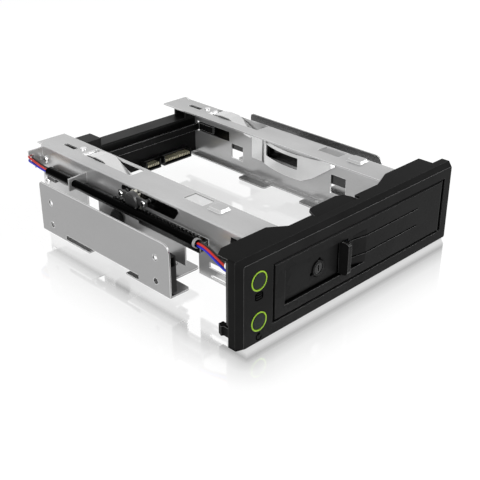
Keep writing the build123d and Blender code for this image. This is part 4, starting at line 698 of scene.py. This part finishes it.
def stepped(tree, value, stops):
    """Colour ramp through grey values at the given positions."""
    ramp = tree.nodes.new("ShaderNodeValToRGB")
    elements = ramp.color_ramp.elements
    while len(elements) < len(stops):
        elements.new(0.5)
    for element, (position, shade) in zip(elements, stops):
        element.position = position
        element.color = grey(shade)
    tree.links.new(value, ramp.inputs["Fac"])
    return ramp.outputs["Color"]


def floor_mirror(tree):
    """Share of mirror on the floor: strong at the object's outline and gone a little way off."""
    inside = -MIRROR_STOPS[0][0]
    span = inside + MIRROR_STOPS[-1][0]
    scaled = math_node(tree, "DIVIDE", math_node(tree, "ADD", footprint_distance(tree), inside), span)
    return stepped(tree, scaled, [((place + inside) / span, shade) for place, shade in MIRROR_STOPS])


def mix_shader(tree, factor, first, second):
    node = tree.nodes.new("ShaderNodeMixShader")
    tree.links.new(factor, node.inputs["Fac"])
    tree.links.new(first, node.inputs[1])
    tree.links.new(second, node.inputs[2])
    return node.outputs["Shader"]


def seen_directly(tree):
    """One for rays from the camera, in gloss and through glass."""
    path = tree.nodes.new("ShaderNodeLightPath").outputs
    mirrored = math_node(tree, "MAXIMUM", path["Is Glossy Ray"], path["Is Transmission Ray"])
    return math_node(tree, "MAXIMUM", path["Is Camera Ray"], mirrored)


def floor_finish():
    """White floor with a soft mirror where it is seen, and plain grey for the light that it throws back."""
    made = bpy.data.materials.new("floor")
    made.use_nodes = True
    tree = made.node_tree
    tree.nodes.clear()
    plain = tree.nodes.new("ShaderNodeBsdfDiffuse")
    plain.inputs["Color"].default_value = grey(FLOOR_BOUNCE)
    white = tree.nodes.new("ShaderNodeBsdfDiffuse")
    white.inputs["Color"].default_value = grey(FLOOR_SHADE)
    lift = tree.nodes.new("ShaderNodeEmission")
    lift.inputs["Strength"].default_value = FLOOR_LIFT
    lit = tree.nodes.new("ShaderNodeAddShader")
    tree.links.new(white.outputs["BSDF"], lit.inputs[0])
    tree.links.new(lift.outputs["Emission"], lit.inputs[1])
    mirror = tree.nodes.new("ShaderNodeBsdfGlossy")
    mirror.inputs["Color"].default_value = grey(1.0)
    mirror.inputs["Roughness"].default_value = MIRROR_ROUGHNESS
    seen = mix_shader(tree, floor_mirror(tree), lit.outputs["Shader"], mirror.outputs["BSDF"])
    out = tree.nodes.new("ShaderNodeOutputMaterial")
    tree.links.new(mix_shader(tree, seen_directly(tree), plain.outputs["BSDF"], seen), out.inputs["Surface"])
    return made


def add_floor():
    side = FLOOR_HALF
    corners = [(-side, -side, 0), (side, -side, 0), (side, side, 0), (-side, side, 0)]
    mesh = bpy.data.meshes.new("floor")
    mesh.from_pydata(corners, [], [(0, 1, 2, 3)])
    made = bpy.data.objects.new("floor", mesh)
    scene.collection.objects.link(made)
    made.location.z = -FLOOR_DROP * MM
    mesh.materials.append(floor_finish())


def add_world():
    world = bpy.data.worlds.new("studio")
    scene.world = world
    world.use_nodes = True
    tree = world.node_tree
    direction = tree.nodes.new("ShaderNodeTexCoord").outputs["Generated"]
    split = tree.nodes.new("ShaderNodeSeparateXYZ")
    tree.links.new(direction, split.inputs["Vector"])
    light = stepped(tree, split.outputs["Z"], SKY_STOPS)
    tint = mixed(tree, seen_directly(tree), light, grey(1.0))
    tree.links.new(tint, tree.nodes["Background"].inputs["Color"])


def add_lamps():
    for name, place, target, size, power in LAMPS:
        data = bpy.data.lights.new(name, "AREA")
        data.shape = "RECTANGLE"
        data.size, data.size_y = size
        data.energy = power
        lamp = bpy.data.objects.new(name, data)
        scene.collection.objects.link(lamp)
        lamp.location = place
        lamp.rotation_mode = "QUATERNION"
        lamp.rotation_quaternion = (Vector(target) - Vector(place)).to_track_quat("-Z", "Y")


add_camera()
dress_metals()
dress_plastics()
dress_loom_and_boards()
soften_edges()
add_driver_crosses()
add_contact_tips()
add_groove_shade()
add_signs()
add_floor()
add_world()
add_lamps()
